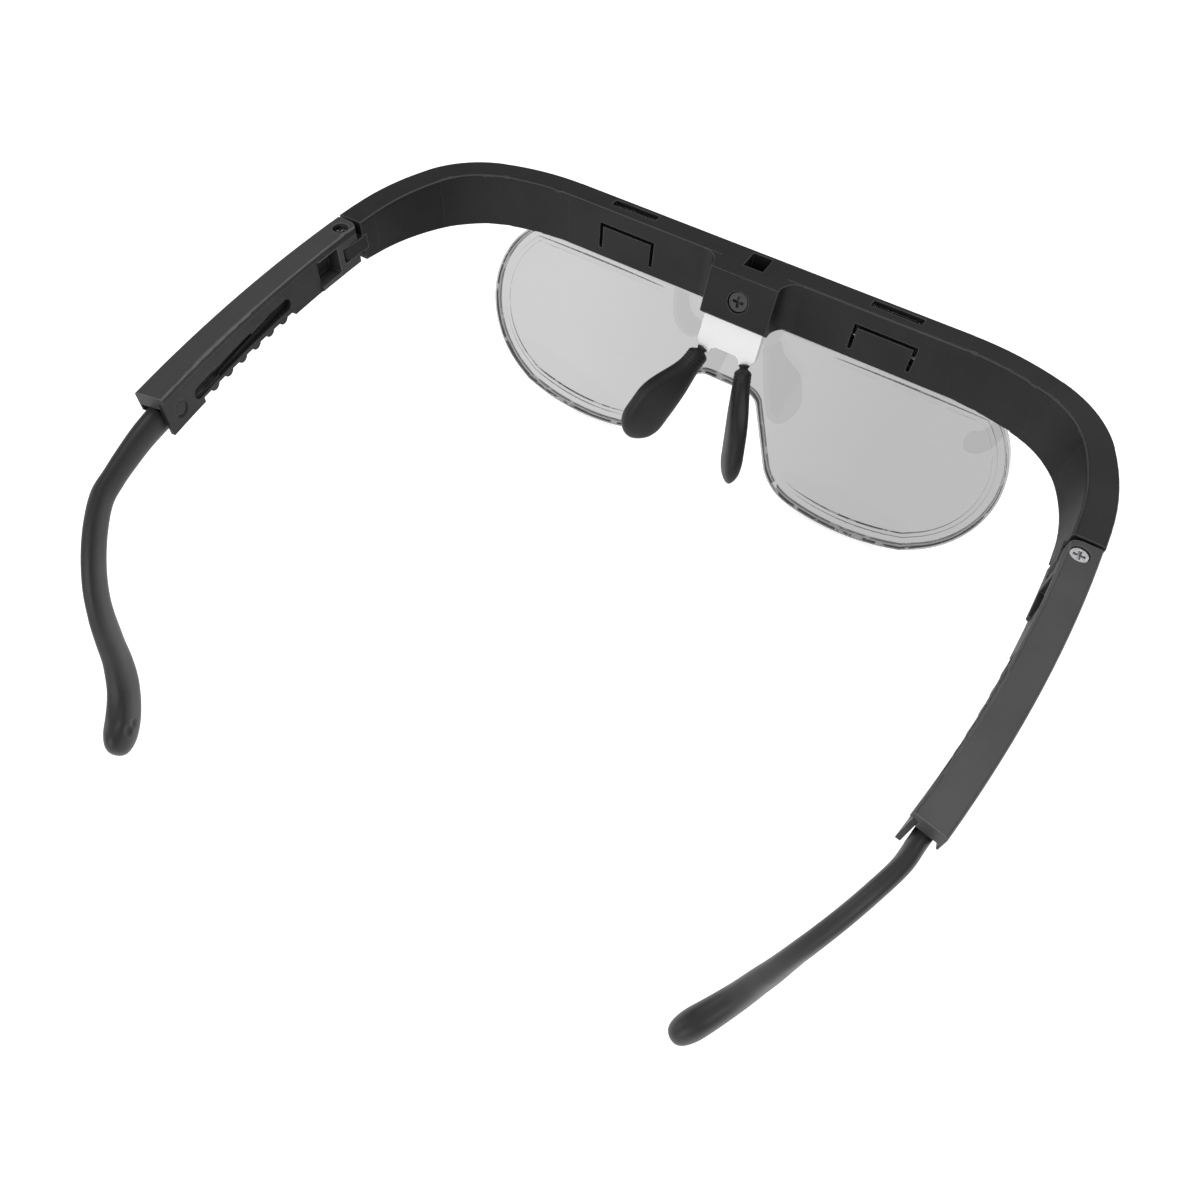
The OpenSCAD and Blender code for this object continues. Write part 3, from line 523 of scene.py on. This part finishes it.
def round_box(around, power):
    """Cosine and sine of the angle, each raised to 2 / power: 2 gives an ellipse, and more is squarer."""
    c, s = np.cos(around), np.sin(around)
    return np.sign(c) * np.abs(c) ** (2 / power), np.sign(s) * np.abs(s) ** (2 / power)


# Slide of the arms, in the source's millimetres
SLIDE_START = np.array([67.931, 97.570, -5.6])
SLIDE_TOE, SLIDE_DIP = math.radians(9), math.radians(3.6)
SLIDE_DIR = np.array([
    -math.sin(SLIDE_TOE) * math.cos(SLIDE_DIP),
    math.cos(SLIDE_TOE) * math.cos(SLIDE_DIP),
    -math.sin(SLIDE_DIP),
])
SLIDE_SIDE = np.array([math.cos(SLIDE_TOE), math.sin(SLIDE_TOE), 0])
# The sleeve starts this far along the slide, with a root of this length that stands off by this much
SLEEVE_START = -13.05
ROOT_LENGTH = 13.4
ROOT_OUT = 0.3
# Shares of the ear piece's length where its waist ends in the bulb, and where it starts to thicken
WAIST_END, THICK_FROM = 0.7, 0.6
# Half heights at the root, the waist and the bulb, and half thicknesses at the root, the neck and the bulb
ROOT_TALL, WAIST_TALL, BULB_TALL = 2.8, 2.3, 3.7
ROOT_THICK, NECK_THICK, BULB_THICK = 1.6, 1.4, 2.3
# Share of the length that the round tip takes up
TIP_SHARE = 0.055
# Middle line of the ear piece behind its root
EAR_STEPS = np.array([
    [0, 0, 0], [-0.6, 3.4, -1.2], [-2, 7.1, -3.6], [-3.6, 10.7, -7], [-5.2, 13.8, -11],
    [-6.5, 16, -15.3], [-7.5, 17.6, -20.1], [-8.6, 19.2, -25.1], [-10.1, 21.6, -29.6],
    [-12.5, 25.4, -32.6], [-15.7, 30.4, -33.6],
])
# Left hinge, and how far the right temple stands open beyond the left one
HINGE = np.array([74, 42.8, 0])
RIGHT_SPLAY = math.radians(-0.9)


def sleeve_route(out, bend):
    """Points of the ear piece's middle line: a straight springy root, then the ear's own steps."""
    side = ROOT_OUT * SLIDE_SIDE
    start = SLIDE_START + (out + SLEEVE_START) * SLIDE_DIR
    end = start + ROOT_LENGTH * SLIDE_DIR
    root = [
        start + side,
        mix(start, end, 0.35) + 0.15 * bend + side,
        mix(start, end, 0.7) + 0.55 * bend + 0.6 * side,
    ]
    return np.concatenate([root, end + bend + EAR_STEPS])


def sleeve_grid(out, bend, rings=300, sides=90):
    """Rings of the ear sleeve, as a grid of points.

    The section is an oval with half height up and down and half thickness to the sides. It is squarer in the
    bow, so that a soft ridge runs along it, and swells to a bulb that rounds off at the tip.
    """
    s = 1 - (1 - np.linspace(0, 1, rings)) ** 1.3
    route = sleeve_route(out, bend)
    ahead = curve_through(route, np.minimum(s + 0.004, 1))
    behind = curve_through(route, np.maximum(s - 0.004, 0))
    direction = unit(ahead - behind)
    side = unit(np.cross(direction, [0, 0, 1]))
    up = np.cross(side, direction)
    slim = mix(ROOT_TALL, WAIST_TALL, np.sin(np.pi * np.minimum(s, WAIST_END) / WAIST_END))
    bulb = mix(ROOT_TALL, BULB_TALL, np.sin(np.pi / 2 * np.clip((s - WAIST_END) / 0.24, 0, 1)) ** 1.5)
    half_height = np.where(s < WAIST_END, slim, bulb)
    thinned = 0.1 * np.sin(np.pi * np.minimum(s, THICK_FROM) / THICK_FROM)
    root = mix(ROOT_THICK, NECK_THICK, np.minimum(s / 0.22, 1)) - thinned
    swell = mix(NECK_THICK, BULB_THICK, np.clip((s - THICK_FROM) / 0.34, 0, 1) ** 1.3)
    half_thick = np.where(s < THICK_FROM, root, swell)
    end = np.sqrt(np.maximum(0.01, 1 - (1 - np.minimum((1 - s) / TIP_SHARE, 1)) ** 2))
    squareness = 2 + 0.9 * rise(s, 0.2, 0.4) * (1 - rise(s, 0.9, 0.99))
    around = np.linspace(0, 2 * np.pi, sides, endpoint=False)
    c, d = round_box(around[None, :], squareness[:, None])
    middle = curve_through(route, s)
    return (
        middle[:, None]
        + (half_height * end)[:, None, None] * c[..., None] * up[:, None]
        - (half_thick * end)[:, None, None] * d[..., None] * side[:, None]
    )


def right_hand(points):
    """The same points on the other temple: turned out about the hinge, then mirrored."""
    turn = np.array([
        [math.cos(RIGHT_SPLAY), -math.sin(RIGHT_SPLAY), 0],
        [math.sin(RIGHT_SPLAY), math.cos(RIGHT_SPLAY), 0],
        [0, 0, 1],
    ])
    return ((points - HINGE) @ turn.T + HINGE) * [-1, 1, 1]


# Nose pad: where its top is, the lengths of pad and knob, and how many of its rings the knob takes
PAD_TOP = np.array([5.1, 13.2, -17.8])
PAD_LENGTH, KNOB_LENGTH, KNOB_RINGS = 24.0, 0.9, 14
# Half widths and half thicknesses of its neck and of its leaf
NECK_WIDE, LEAF_WIDE = 2.5, 5.1
NECK_DEEP, LEAF_DEEP = 1.75, 2.0
# Height and pitch of the neck's ribs; the pitch is a share of the pad's length
RIB_HEIGHT, RIB_PITCH = 0.07, 0.028
# The left pad is turned about its length by this much
PAD_TURN = math.radians(12)


def pad_grid(turned, rings=150, sides=72):
    """Rings of the left nose pad from its knob to its tip, as a grid of points.

    The section is a squarish oval that swells to one side as a leaf does. The neck starts as a small round
    knob with a waist, and carries a few shallow ribs. The tip is rounded off.
    """
    direction = unit([0.265, 0.565, -0.78])
    across = np.cross(direction, [-0.87, 0.47, 0.04])
    face = unit(np.cross(across, direction))
    side = np.cross(direction, face)
    turn = PAD_TURN if turned else 0.0
    face, side = (
        math.cos(turn) * face + math.sin(turn) * side,
        math.cos(turn) * side - math.sin(turn) * face,
    )
    t = np.concatenate([
        np.linspace(-KNOB_LENGTH / PAD_LENGTH, 0, KNOB_RINGS, endpoint=False),
        1 - (1 - np.linspace(0, 1, rings - KNOB_RINGS)) ** 1.35,
    ])
    inside = np.maximum(t, 0)
    swell = np.sin(np.pi / 2 * np.clip((inside - 0.08) / 0.52, 0, 1)) ** 2
    end = np.sqrt(
        np.maximum(0.04, 1 - (1 - np.minimum(inside / 0.05, 1)) ** 2)
        * np.maximum(0.012, 1 - (1 - np.minimum((1 - inside) / 0.24, 1)) ** 2)
    )
    ribbed = rise(inside, 0.03, 0.06) * (1 - rise(inside, 0.12, 0.15))
    ribs = RIB_HEIGHT * ribbed * np.cos((inside - 0.05) / RIB_PITCH * 2 * np.pi)
    half_width = mix(NECK_WIDE, LEAF_WIDE, swell) + ribs
    half_thick = mix(NECK_DEEP, LEAF_DEEP, np.sin(np.pi / 2 * np.minimum(inside / 0.4, 1))) + ribs
    along = PAD_LENGTH * t
    round_top = np.sqrt(np.clip(1 - (1 - np.clip((along + KNOB_LENGTH) / 0.35, 0, 1)) ** 2, 0.02, 1))
    waist = (1.15 - 0.25 * rise(along, -0.5, -0.05)) * round_top
    wide = np.where(inside > 0.5, end * half_width, np.maximum(end * half_width, waist))
    thick = np.where(inside > 0.5, end * half_thick, np.maximum(end * half_thick, waist))
    squareness = 2 + 1.1 * rise(inside, 0.12, 0.45) * (1 - rise(inside, 0.9, 1.0))
    around = np.linspace(0, 2 * np.pi, sides, endpoint=False)
    c, d = round_box(around[None, :], squareness[:, None])
    middle = PAD_TOP + along[:, None] * direction + (1.9 * swell)[:, None] * side
    return (
        middle[:, None]
        + wide[:, None, None] * c[..., None] * side
        + thick[:, None, None] * d[..., None] * face
    )


def outward(grid):
    """Unit normal at each point of a grid of closed rings, away from its ring's middle."""
    around = np.roll(grid, -1, 1) - np.roll(grid, 1, 1)
    along = np.gradient(grid, axis=0)
    normal = unit(np.cross(around, along) + 1e-12)
    away = grid - grid.mean(1, keepdims=True)
    return normal * np.where((normal * away).sum(-1, keepdims=True) < 0, -1, 1)


def dented(grid, dents):
    """The grid pressed in at each dent, and how deep each point lies, from 0 to 1.

    A dent is a centre, a radius and a depth. A point lies 1 minus the square of distance / radius deep in it,
    and is pressed in by that share of the depth.
    """
    press = np.zeros(grid.shape[:2])
    deep = np.zeros(grid.shape[:2])
    for centre, radius, depth in dents:
        far = np.linalg.norm(grid - np.array(centre), axis=-1) / radius
        bowl = np.clip(1 - far**2, 0, 1)
        press = np.maximum(press, bowl * depth)
        deep = np.maximum(deep, bowl)
    return grid - press[..., None] * outward(grid), deep


def skin_piece(name, grid, deep, material, body, replaced, smooth=True):
    """Closed surface over rings of points: each ring joins the next, and each end closes on a middle point.

    The dent attribute says how deep each point lies in a dent. Replaced is the CAD node it stands for, or
    None.
    """
    rings, sides = grid.shape[:2]
    ends = np.stack([grid[0].mean(0), grid[-1].mean(0)])
    points = (np.concatenate([grid.reshape(-1, 3), ends]) + STAND) * MM
    i, j = np.meshgrid(np.arange(rings - 1), np.arange(sides), indexing="ij")
    k = (j + 1) % sides
    walls = np.stack([i * sides + j, i * sides + k, (i + 1) * sides + k, (i + 1) * sides + j], -1)
    around = np.arange(sides)
    after = (around + 1) % sides
    last = (rings - 1) * sides
    first_cap = np.stack([np.full(sides, rings * sides), after, around], 1)
    last_cap = np.stack([np.full(sides, rings * sides + 1), last + around, last + after], 1)
    faces = [walls.reshape(-1, 4), first_cap, last_cap]
    a, b, c = points[walls[..., 0]], points[walls[..., 1]], points[walls[..., 2]]
    if (np.cross(a, b) * c).sum() < 0:
        faces = [f[:, ::-1] for f in faces]
    mesh = bpy.data.meshes.new(name)
    mesh.from_pydata(points.tolist(), [], [row for f in faces for row in f.tolist()])
    mark = mesh.attributes.new("dent", "FLOAT", "POINT")
    mark.data.foreach_set("value", np.append(deep.ravel(), [0, 0]).astype(np.float32))
    if smooth:
        mesh.shade_smooth()
    mesh.materials.append(material)
    piece = shown(name, mesh)
    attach(piece, body)
    if replaced:
        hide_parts(replaced)


# Faces of the lens that look along its axis by more than this share are no part of the rim
RIM_SIDEWAYS = 0.6
# The rim's band ends at this height, a little way inside the bar's channel
RIM_TOP = 0.0415
# The band is drawn in by so many millimetres at the rear face, and by so many more at the front face
RIM_INSET, RIM_SLOPE = 0.03, 1.2
# The gate mark of the mould is a gap in the band: its x, z and radius
GATE_X, GATE_Z, GATE_RADIUS = -0.01785, 0.00353, 0.0008
# Thickness of the band
RIM_WALL = 0.00002


def off_rim(face, axis):
    """Whether a face of the lens lies outside the rim's band."""
    middle = face.calc_center_median()
    return (
        abs(face.normal.dot(axis)) > RIM_SIDEWAYS
        or middle.z > RIM_TOP
        or math.hypot(middle.x - GATE_X, middle.z - GATE_Z) < GATE_RADIUS
    )


def lens_rim():
    """Band just inside the rim of the lens, which carries its painted lines of light and shade and its
    painted glints.

    It is the part of a merged copy of the lens that looks sideways, below the bar. Each point is drawn in
    along its normal by the inset plus the slope times its share of the way from the rear to the front face.
    """
    copy = bmesh.new()
    copy.from_mesh(nodes["magnifier_lens"].data)
    bmesh.ops.remove_doubles(copy, verts=copy.verts, dist=1e-6)
    axis = Vector(LENS_AXIS)
    copy.normal_update()
    bmesh.ops.delete(copy, geom=[f for f in copy.faces if off_rim(f, axis)], context="FACES")
    copy.normal_update()
    mesh = bpy.data.meshes.new("lens_rim")
    copy.to_mesh(mesh)
    copy.free()
    count = len(mesh.vertices)
    points = np.empty(count * 3, np.float32)
    normals = np.empty(count * 3, np.float32)
    mesh.vertices.foreach_get("co", points)
    mesh.vertex_normals.foreach_get("vector", normals)
    points = points.reshape(-1, 3)
    depth = points @ np.array(LENS_AXIS)
    front_share = (depth.max() - depth) / (depth.max() - depth.min())
    drawn_in = (RIM_INSET + RIM_SLOPE * front_share)[:, None] * MM * normals.reshape(-1, 3)
    points = points - drawn_in.astype(np.float32)
    mesh.vertices.foreach_set("co", points.ravel())
    mesh.materials.append(painted_rim_light(float(depth.min()), float(depth.max())))
    piece = shown("lens_rim", mesh)
    wall = piece.modifiers.new("wall", "SOLIDIFY")
    wall.thickness = RIM_WALL
    wall.offset = -1
    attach(piece, "lens")


lens_rim()


# Rack plate of a temple, in the rack's own millimetres: x across, u along (0 at the rear end), z height
RACK_PLACE = np.array([67.9316, 97.5647, 0.0])
RACK_TURN = np.array([
    [math.cos(SLIDE_TOE), -math.sin(SLIDE_TOE), 0],
    [math.sin(SLIDE_TOE), math.cos(SLIDE_TOE), 0],
    [0, 0, 1],
])
ARC_CENTRE = np.array([-293.3536, -18.357])
PLATE_ARC = 291.5346
PLATE_FRONT, PLATE_REAR = -45.0, 0.02
PLATE_TOP, PLATE_BOTTOM = -1.3, -8.1
SLOT_FRONT, SLOT_REAR = -36.0, -7.3
SLOT_HALF = 1.2
TOOTH_FIRST, TOOTH_PITCH, TOOTH_COUNT = -33.1, 4.15, 6
TOOTH_RADIUS, TOOTH_HEIGHT = 1.3, -6.6
BEAM_BOTTOM = -7.15
RACK_FRONT, RACK_REAR = -36.6, -9.1
# Where the plate's back lies across: at full thickness, and thinned. It is thinned behind the step, and in
# front of the run's rear end along a band of the run's half height above and below the arm's slide
BACK_FULL, BACK_THINNED = -1.2, -1.6
BACK_STEP = -14.3
RUN_REAR, RUN_HALF = -19, 1
# The slot's web: its lower edge, how far its face lies before the plate's back, and its thickness
WEB_BOTTOM, WEB_BEFORE, WEB_THICK = -6.6, 0.18, 0.16
# Ring mark of the mould near the plate's rear end: middle, radius, and width and depth of its groove
MARK_U, MARK_Z, MARK_RADIUS = -3.5, -4.9, 1.4
MARK_WIDTH, MARK_DEPTH = 0.2, 0.3
# Grid of a plate: columns along it, and rows above and below the slot
PLATE_COLUMNS, ROWS_ABOVE, ROWS_BELOW = 760, 26, 16


def plate_face(u):
    """Where the plate's visible face lies across, on the housing's own arc."""
    return ARC_CENTRE[0] + np.sqrt(PLATE_ARC**2 - (u - ARC_CENTRE[1]) ** 2)


def slot_middle(u):
    """Height of the slot's middle, which falls a little to the rear."""
    return -4.85 - 0.02 * (u - SLOT_FRONT)


def slot_opening(u):
    """Half of the slot's height: full in the middle, and a half circle at both ends."""
    inside = np.clip(np.minimum(u - SLOT_FRONT, SLOT_REAR - u), 0, SLOT_HALF)
    return np.sqrt(np.maximum(SLOT_HALF**2 - (SLOT_HALF - inside) ** 2, 0))


def plate_lower_edge(u):
    """Lower edge: straight at both ends, and between them a thin beam with a row of hanging half circles."""
    number = np.clip(np.round((u - TOOTH_FIRST) / TOOTH_PITCH), 0, TOOTH_COUNT - 1)
    nearest = TOOTH_FIRST + TOOTH_PITCH * number
    drop = np.sqrt(np.maximum(TOOTH_RADIUS**2 - (u - nearest) ** 2, 0))
    toothed = np.minimum(TOOTH_HEIGHT - drop, BEAM_BOTTOM)
    return np.where((u > RACK_FRONT) & (u < RACK_REAR), toothed, PLATE_BOTTOM)


def slide_height(u):
    """Height of the arm's slide at u along the rack."""
    return -5.6 - math.tan(SLIDE_DIP) * u


def slot_web(left):
    """Thin dark web across the slot's lower part: it ends just under the arm's sliding head.

    It is a flat tube of four-sided rings along the rack.
    """
    u = np.linspace(SLOT_FRONT - 0.5, SLOT_REAR + 0.3, 60)
    low = np.full(u.shape, WEB_BOTTOM)
    high = np.maximum(slide_height(u) - RUN_HALF, low + 0.05)
    near = np.where(u > BACK_STEP, BACK_THINNED, BACK_FULL) - WEB_BEFORE
    far = near + WEB_THICK
    ring = np.stack([
        np.stack([near, u, high], -1), np.stack([near, u, low], -1),
        np.stack([far, u, low], -1), np.stack([far, u, high], -1),
    ], 1)
    placed = ring @ RACK_TURN.T + RACK_PLACE
    if not left:
        placed = right_hand(placed)
    side = "left" if left else "right"
    flat = np.zeros(ring.shape[:2])
    skin_piece("slot_web_" + side, placed, flat, web_plastic, "temple_" + side,
               None, smooth=False)


def ring_mark(u, z):
    """Depth of the round mark's groove: a bell curve across its line, deeper on its lower, front side."""
    away = np.hypot(u - MARK_U, z - MARK_Z)
    turn = np.arctan2(z - MARK_Z, u - MARK_U)
    groove = np.exp(-(((away - MARK_RADIUS) / MARK_WIDTH) ** 2))
    return MARK_DEPTH * groove * np.clip(0.55 - 0.6 * np.sin(turn + 0.5), 0.1, 1)


def strip(first, second, shift):
    """Faces that each join two neighbouring points of the face to the same two of the back."""
    return np.stack([first, second, second + shift, first + shift], -1)


def rack_plate(name, left):
    """Slotted, toothed plate on the inner side of a temple.

    Its face is a grid of columns along the rack. Each column runs from the top edge to the slot and from the
    slot to the lower edge; the faces across the slot are left out, and walls join the face to the back.
    """
    steps = np.linspace(PLATE_FRONT, PLATE_REAR, PLATE_COLUMNS)
    near_ends = SLOT_HALF * (1 - np.cos(np.linspace(0, np.pi / 2, 14)))
    extra = [SLOT_FRONT + near_ends, SLOT_REAR - near_ends, [RACK_FRONT + 0.01, RACK_REAR - 0.01]]
    u = np.unique(np.concatenate([steps, *extra]))
    above = np.linspace(0, 1, ROWS_ABOVE)
    below = np.linspace(0, 1, ROWS_BELOW)
    middle, opening, lower = slot_middle(u), slot_opening(u), plate_lower_edge(u)
    upper_rows = mix(PLATE_TOP, (middle + opening)[:, None], above)
    lower_rows = mix((middle - opening)[:, None], lower[:, None], below)
    z = np.concatenate([upper_rows, lower_rows], 1)
    columns, rows = z.shape
    split = ROWS_ABOVE - 1
    along = np.repeat(u[:, None], rows, 1)
    front = np.stack([plate_face(along) + ring_mark(along, z), along, z], -1)
    run = (np.abs(z - slide_height(along)) < RUN_HALF) & (along < RUN_REAR)
    behind = np.where((along > BACK_STEP) | run, BACK_THINNED, BACK_FULL)
    back = np.stack([behind, along, z], -1)
    points = np.concatenate([front.reshape(-1, 3), back.reshape(-1, 3)])
    i, j = np.meshgrid(np.arange(columns - 1), np.arange(rows - 1), indexing="ij")
    sheet = np.stack([i * rows + j, i * rows + j + 1, (i + 1) * rows + j + 1, (i + 1) * rows + j], -1)
    sheet = sheet[:, np.arange(rows - 1) != split].reshape(-1, 4)
    shift = columns * rows
    faces = [sheet, sheet[:, ::-1] + shift]
    every = np.arange(columns - 1)
    slotted = every[(opening[:-1] + opening[1:]) > 1e-6]
    for row, cells, flip in (
        (0, every, False), (rows - 1, every, True), (split, slotted, True), (split + 1, slotted, False),
    ):
        wall = strip(cells * rows + row, (cells + 1) * rows + row, shift)
        faces.append(wall[:, ::-1] if flip else wall)
    down = np.delete(np.arange(rows - 1), split)
    for column, flip in ((0, False), (columns - 1, True)):
        wall = strip(column * rows + down, column * rows + down + 1, shift)
        faces.append(wall[:, ::-1] if flip else wall)
    placed = points @ RACK_TURN.T + RACK_PLACE
    if not left:
        placed = right_hand(placed)
        faces = [f[:, ::-1] for f in faces]
    mesh = bpy.data.meshes.new(name)
    mesh.from_pydata(((placed + STAND) * MM).tolist(), [], [row for f in faces for row in f.tolist()])
    joined = bmesh.new()
    joined.from_mesh(mesh)
    bmesh.ops.remove_doubles(joined, verts=joined.verts, dist=1e-7)
    bmesh.ops.dissolve_degenerate(joined, edges=joined.edges, dist=1e-7)
    bmesh.ops.recalc_face_normals(joined, faces=joined.faces)
    joined.to_mesh(mesh)
    joined.free()
    mesh.materials.append(plate_plastic)
    piece = shown(name, mesh)
    side = "left" if left else "right"
    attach(piece, "temple_" + side)
    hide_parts("rack_cover_" + side)


rack_plate("rack_plate_left", True)
rack_plate("rack_plate_right", False)
slot_web(True)
slot_web(False)

# How far the left arm stands out, how the roots of the ear pieces bend, and the dents of the left side, each
# with its centre, radius and depth
LEFT_OUT = 12.45
LEFT_BEND, RIGHT_BEND = np.array([0.3, -0.3, -1.6]), np.array([0, 0, 0.4])
SLEEVE_DENTS = (
    ((51.5, 134.55, -40.1), 0.95, 0.25),
    ((51.2, 135.2, -39.9), 0.7, 0.2),
    ((50.7, 136.1, -39.5), 1.1, 0.3),
)
PAD_DENTS = (((9.25, 20.2, -32.3), 0.75, 0.3),)

left_sleeve, left_deep = dented(sleeve_grid(LEFT_OUT, LEFT_BEND), SLEEVE_DENTS)
right_sleeve = right_hand(sleeve_grid(0.0, RIGHT_BEND))
skin_piece("sleeve_left", left_sleeve, left_deep, sleeve_rubber, "arm_left",
           "ear_sleeve_left")
skin_piece("sleeve_right", right_sleeve, np.zeros(right_sleeve.shape[:2]), sleeve_rubber, "arm_right",
           "ear_sleeve_right")
left_pad, left_nick = dented(pad_grid(True), PAD_DENTS)
right_pad = pad_grid(False) * [-1, 1, 1]
skin_piece("pad_left", left_pad, left_nick, pad_silicone, "front", "nose_pad_left")
skin_piece("pad_right", right_pad, np.zeros(right_pad.shape[:2]), pad_silicone, "front",
           "nose_pad_right")


# Floor, light and air
FLOOR_HALF, FLOOR_DROP = 1.5, 0.0002
FLOOR_GLOW = 0.62
STUDIO_GREY = (*grey(0.8), 1)
WHITE = (1, 1, 1, 1)


def pale_floor():
    """Plain table: white to the camera and in reflections, with the object's soft shadow kept on it.

    What is seen through the clear lens is the same even white.
    """
    half = FLOOR_HALF
    corners = [(-half, -half, 0), (half, -half, 0), (half, half, 0), (-half, half, 0)]
    mesh = bpy.data.meshes.new("table_top")
    mesh.from_pydata(corners, [], [(0, 1, 2, 3)])
    floor = shown("table_top", mesh)
    floor.location = (0, 0, -FLOOR_DROP)
    material = bpy.data.materials.new("table_white")
    material.use_nodes = True
    tree = material.node_tree
    tree.nodes.clear()
    link = tree.links.new
    output = add(tree, "ShaderNodeOutputMaterial")
    matte = add(tree, "ShaderNodeBsdfDiffuse", inputs={"Color": STUDIO_GREY})
    glow = add(tree, "ShaderNodeEmission", inputs={"Color": WHITE})
    path = add(tree, "ShaderNodeLightPath")
    seen = calculate(tree, "MAXIMUM", path.outputs["Is Camera Ray"], path.outputs["Is Glossy Ray"])
    link(calculate(tree, "MULTIPLY", seen, FLOOR_GLOW), glow.inputs["Strength"])
    both = add(tree, "ShaderNodeAddShader")
    link(matte.outputs[0], both.inputs[0])
    link(glow.outputs[0], both.inputs[1])
    even = add(tree, "ShaderNodeEmission", inputs={"Color": WHITE, "Strength": 1.0})
    through = add(tree, "ShaderNodeMixShader")
    link(path.outputs["Is Transmission Ray"], through.inputs[0])
    link(both.outputs[0], through.inputs[1])
    link(even.outputs[0], through.inputs[2])
    link(through.outputs[0], output.inputs["Surface"])
    mesh.materials.append(material)


# Every soft box looks at this point in the middle of the part
LIGHT_AIM = Vector((0, 0, 0.03))


def soft_light(name, place, size, power):
    """Square soft box that looks at the part."""
    data = bpy.data.lights.new(name, "AREA")
    data.shape = "SQUARE"
    data.size = size
    data.energy = power
    lamp = shown(name, data)
    lamp.location = place
    lamp.rotation_mode = "QUATERNION"
    lamp.rotation_quaternion = (LIGHT_AIM - Vector(place)).to_track_quat("-Z", "Y")


def soft_air():
    """Even pale surroundings."""
    world = bpy.data.worlds.new("studio_air")
    bpy.context.scene.world = world
    world.use_nodes = True
    back = world.node_tree.nodes["Background"]
    back.inputs["Color"].default_value = STUDIO_GREY
    back.inputs["Strength"].default_value = 0.5


pale_floor()
soft_air()
soft_light("top_box", (-0.22, -0.32, 0.85), 0.6, 3.6)
soft_light("side_box", (0.8, 0.35, 0.4), 0.5, 2.2)
soft_light("rear_box", (-0.1, 0.9, 0.45), 0.6, 3.6)

bpy.context.scene.view_settings.view_transform = "Standard"
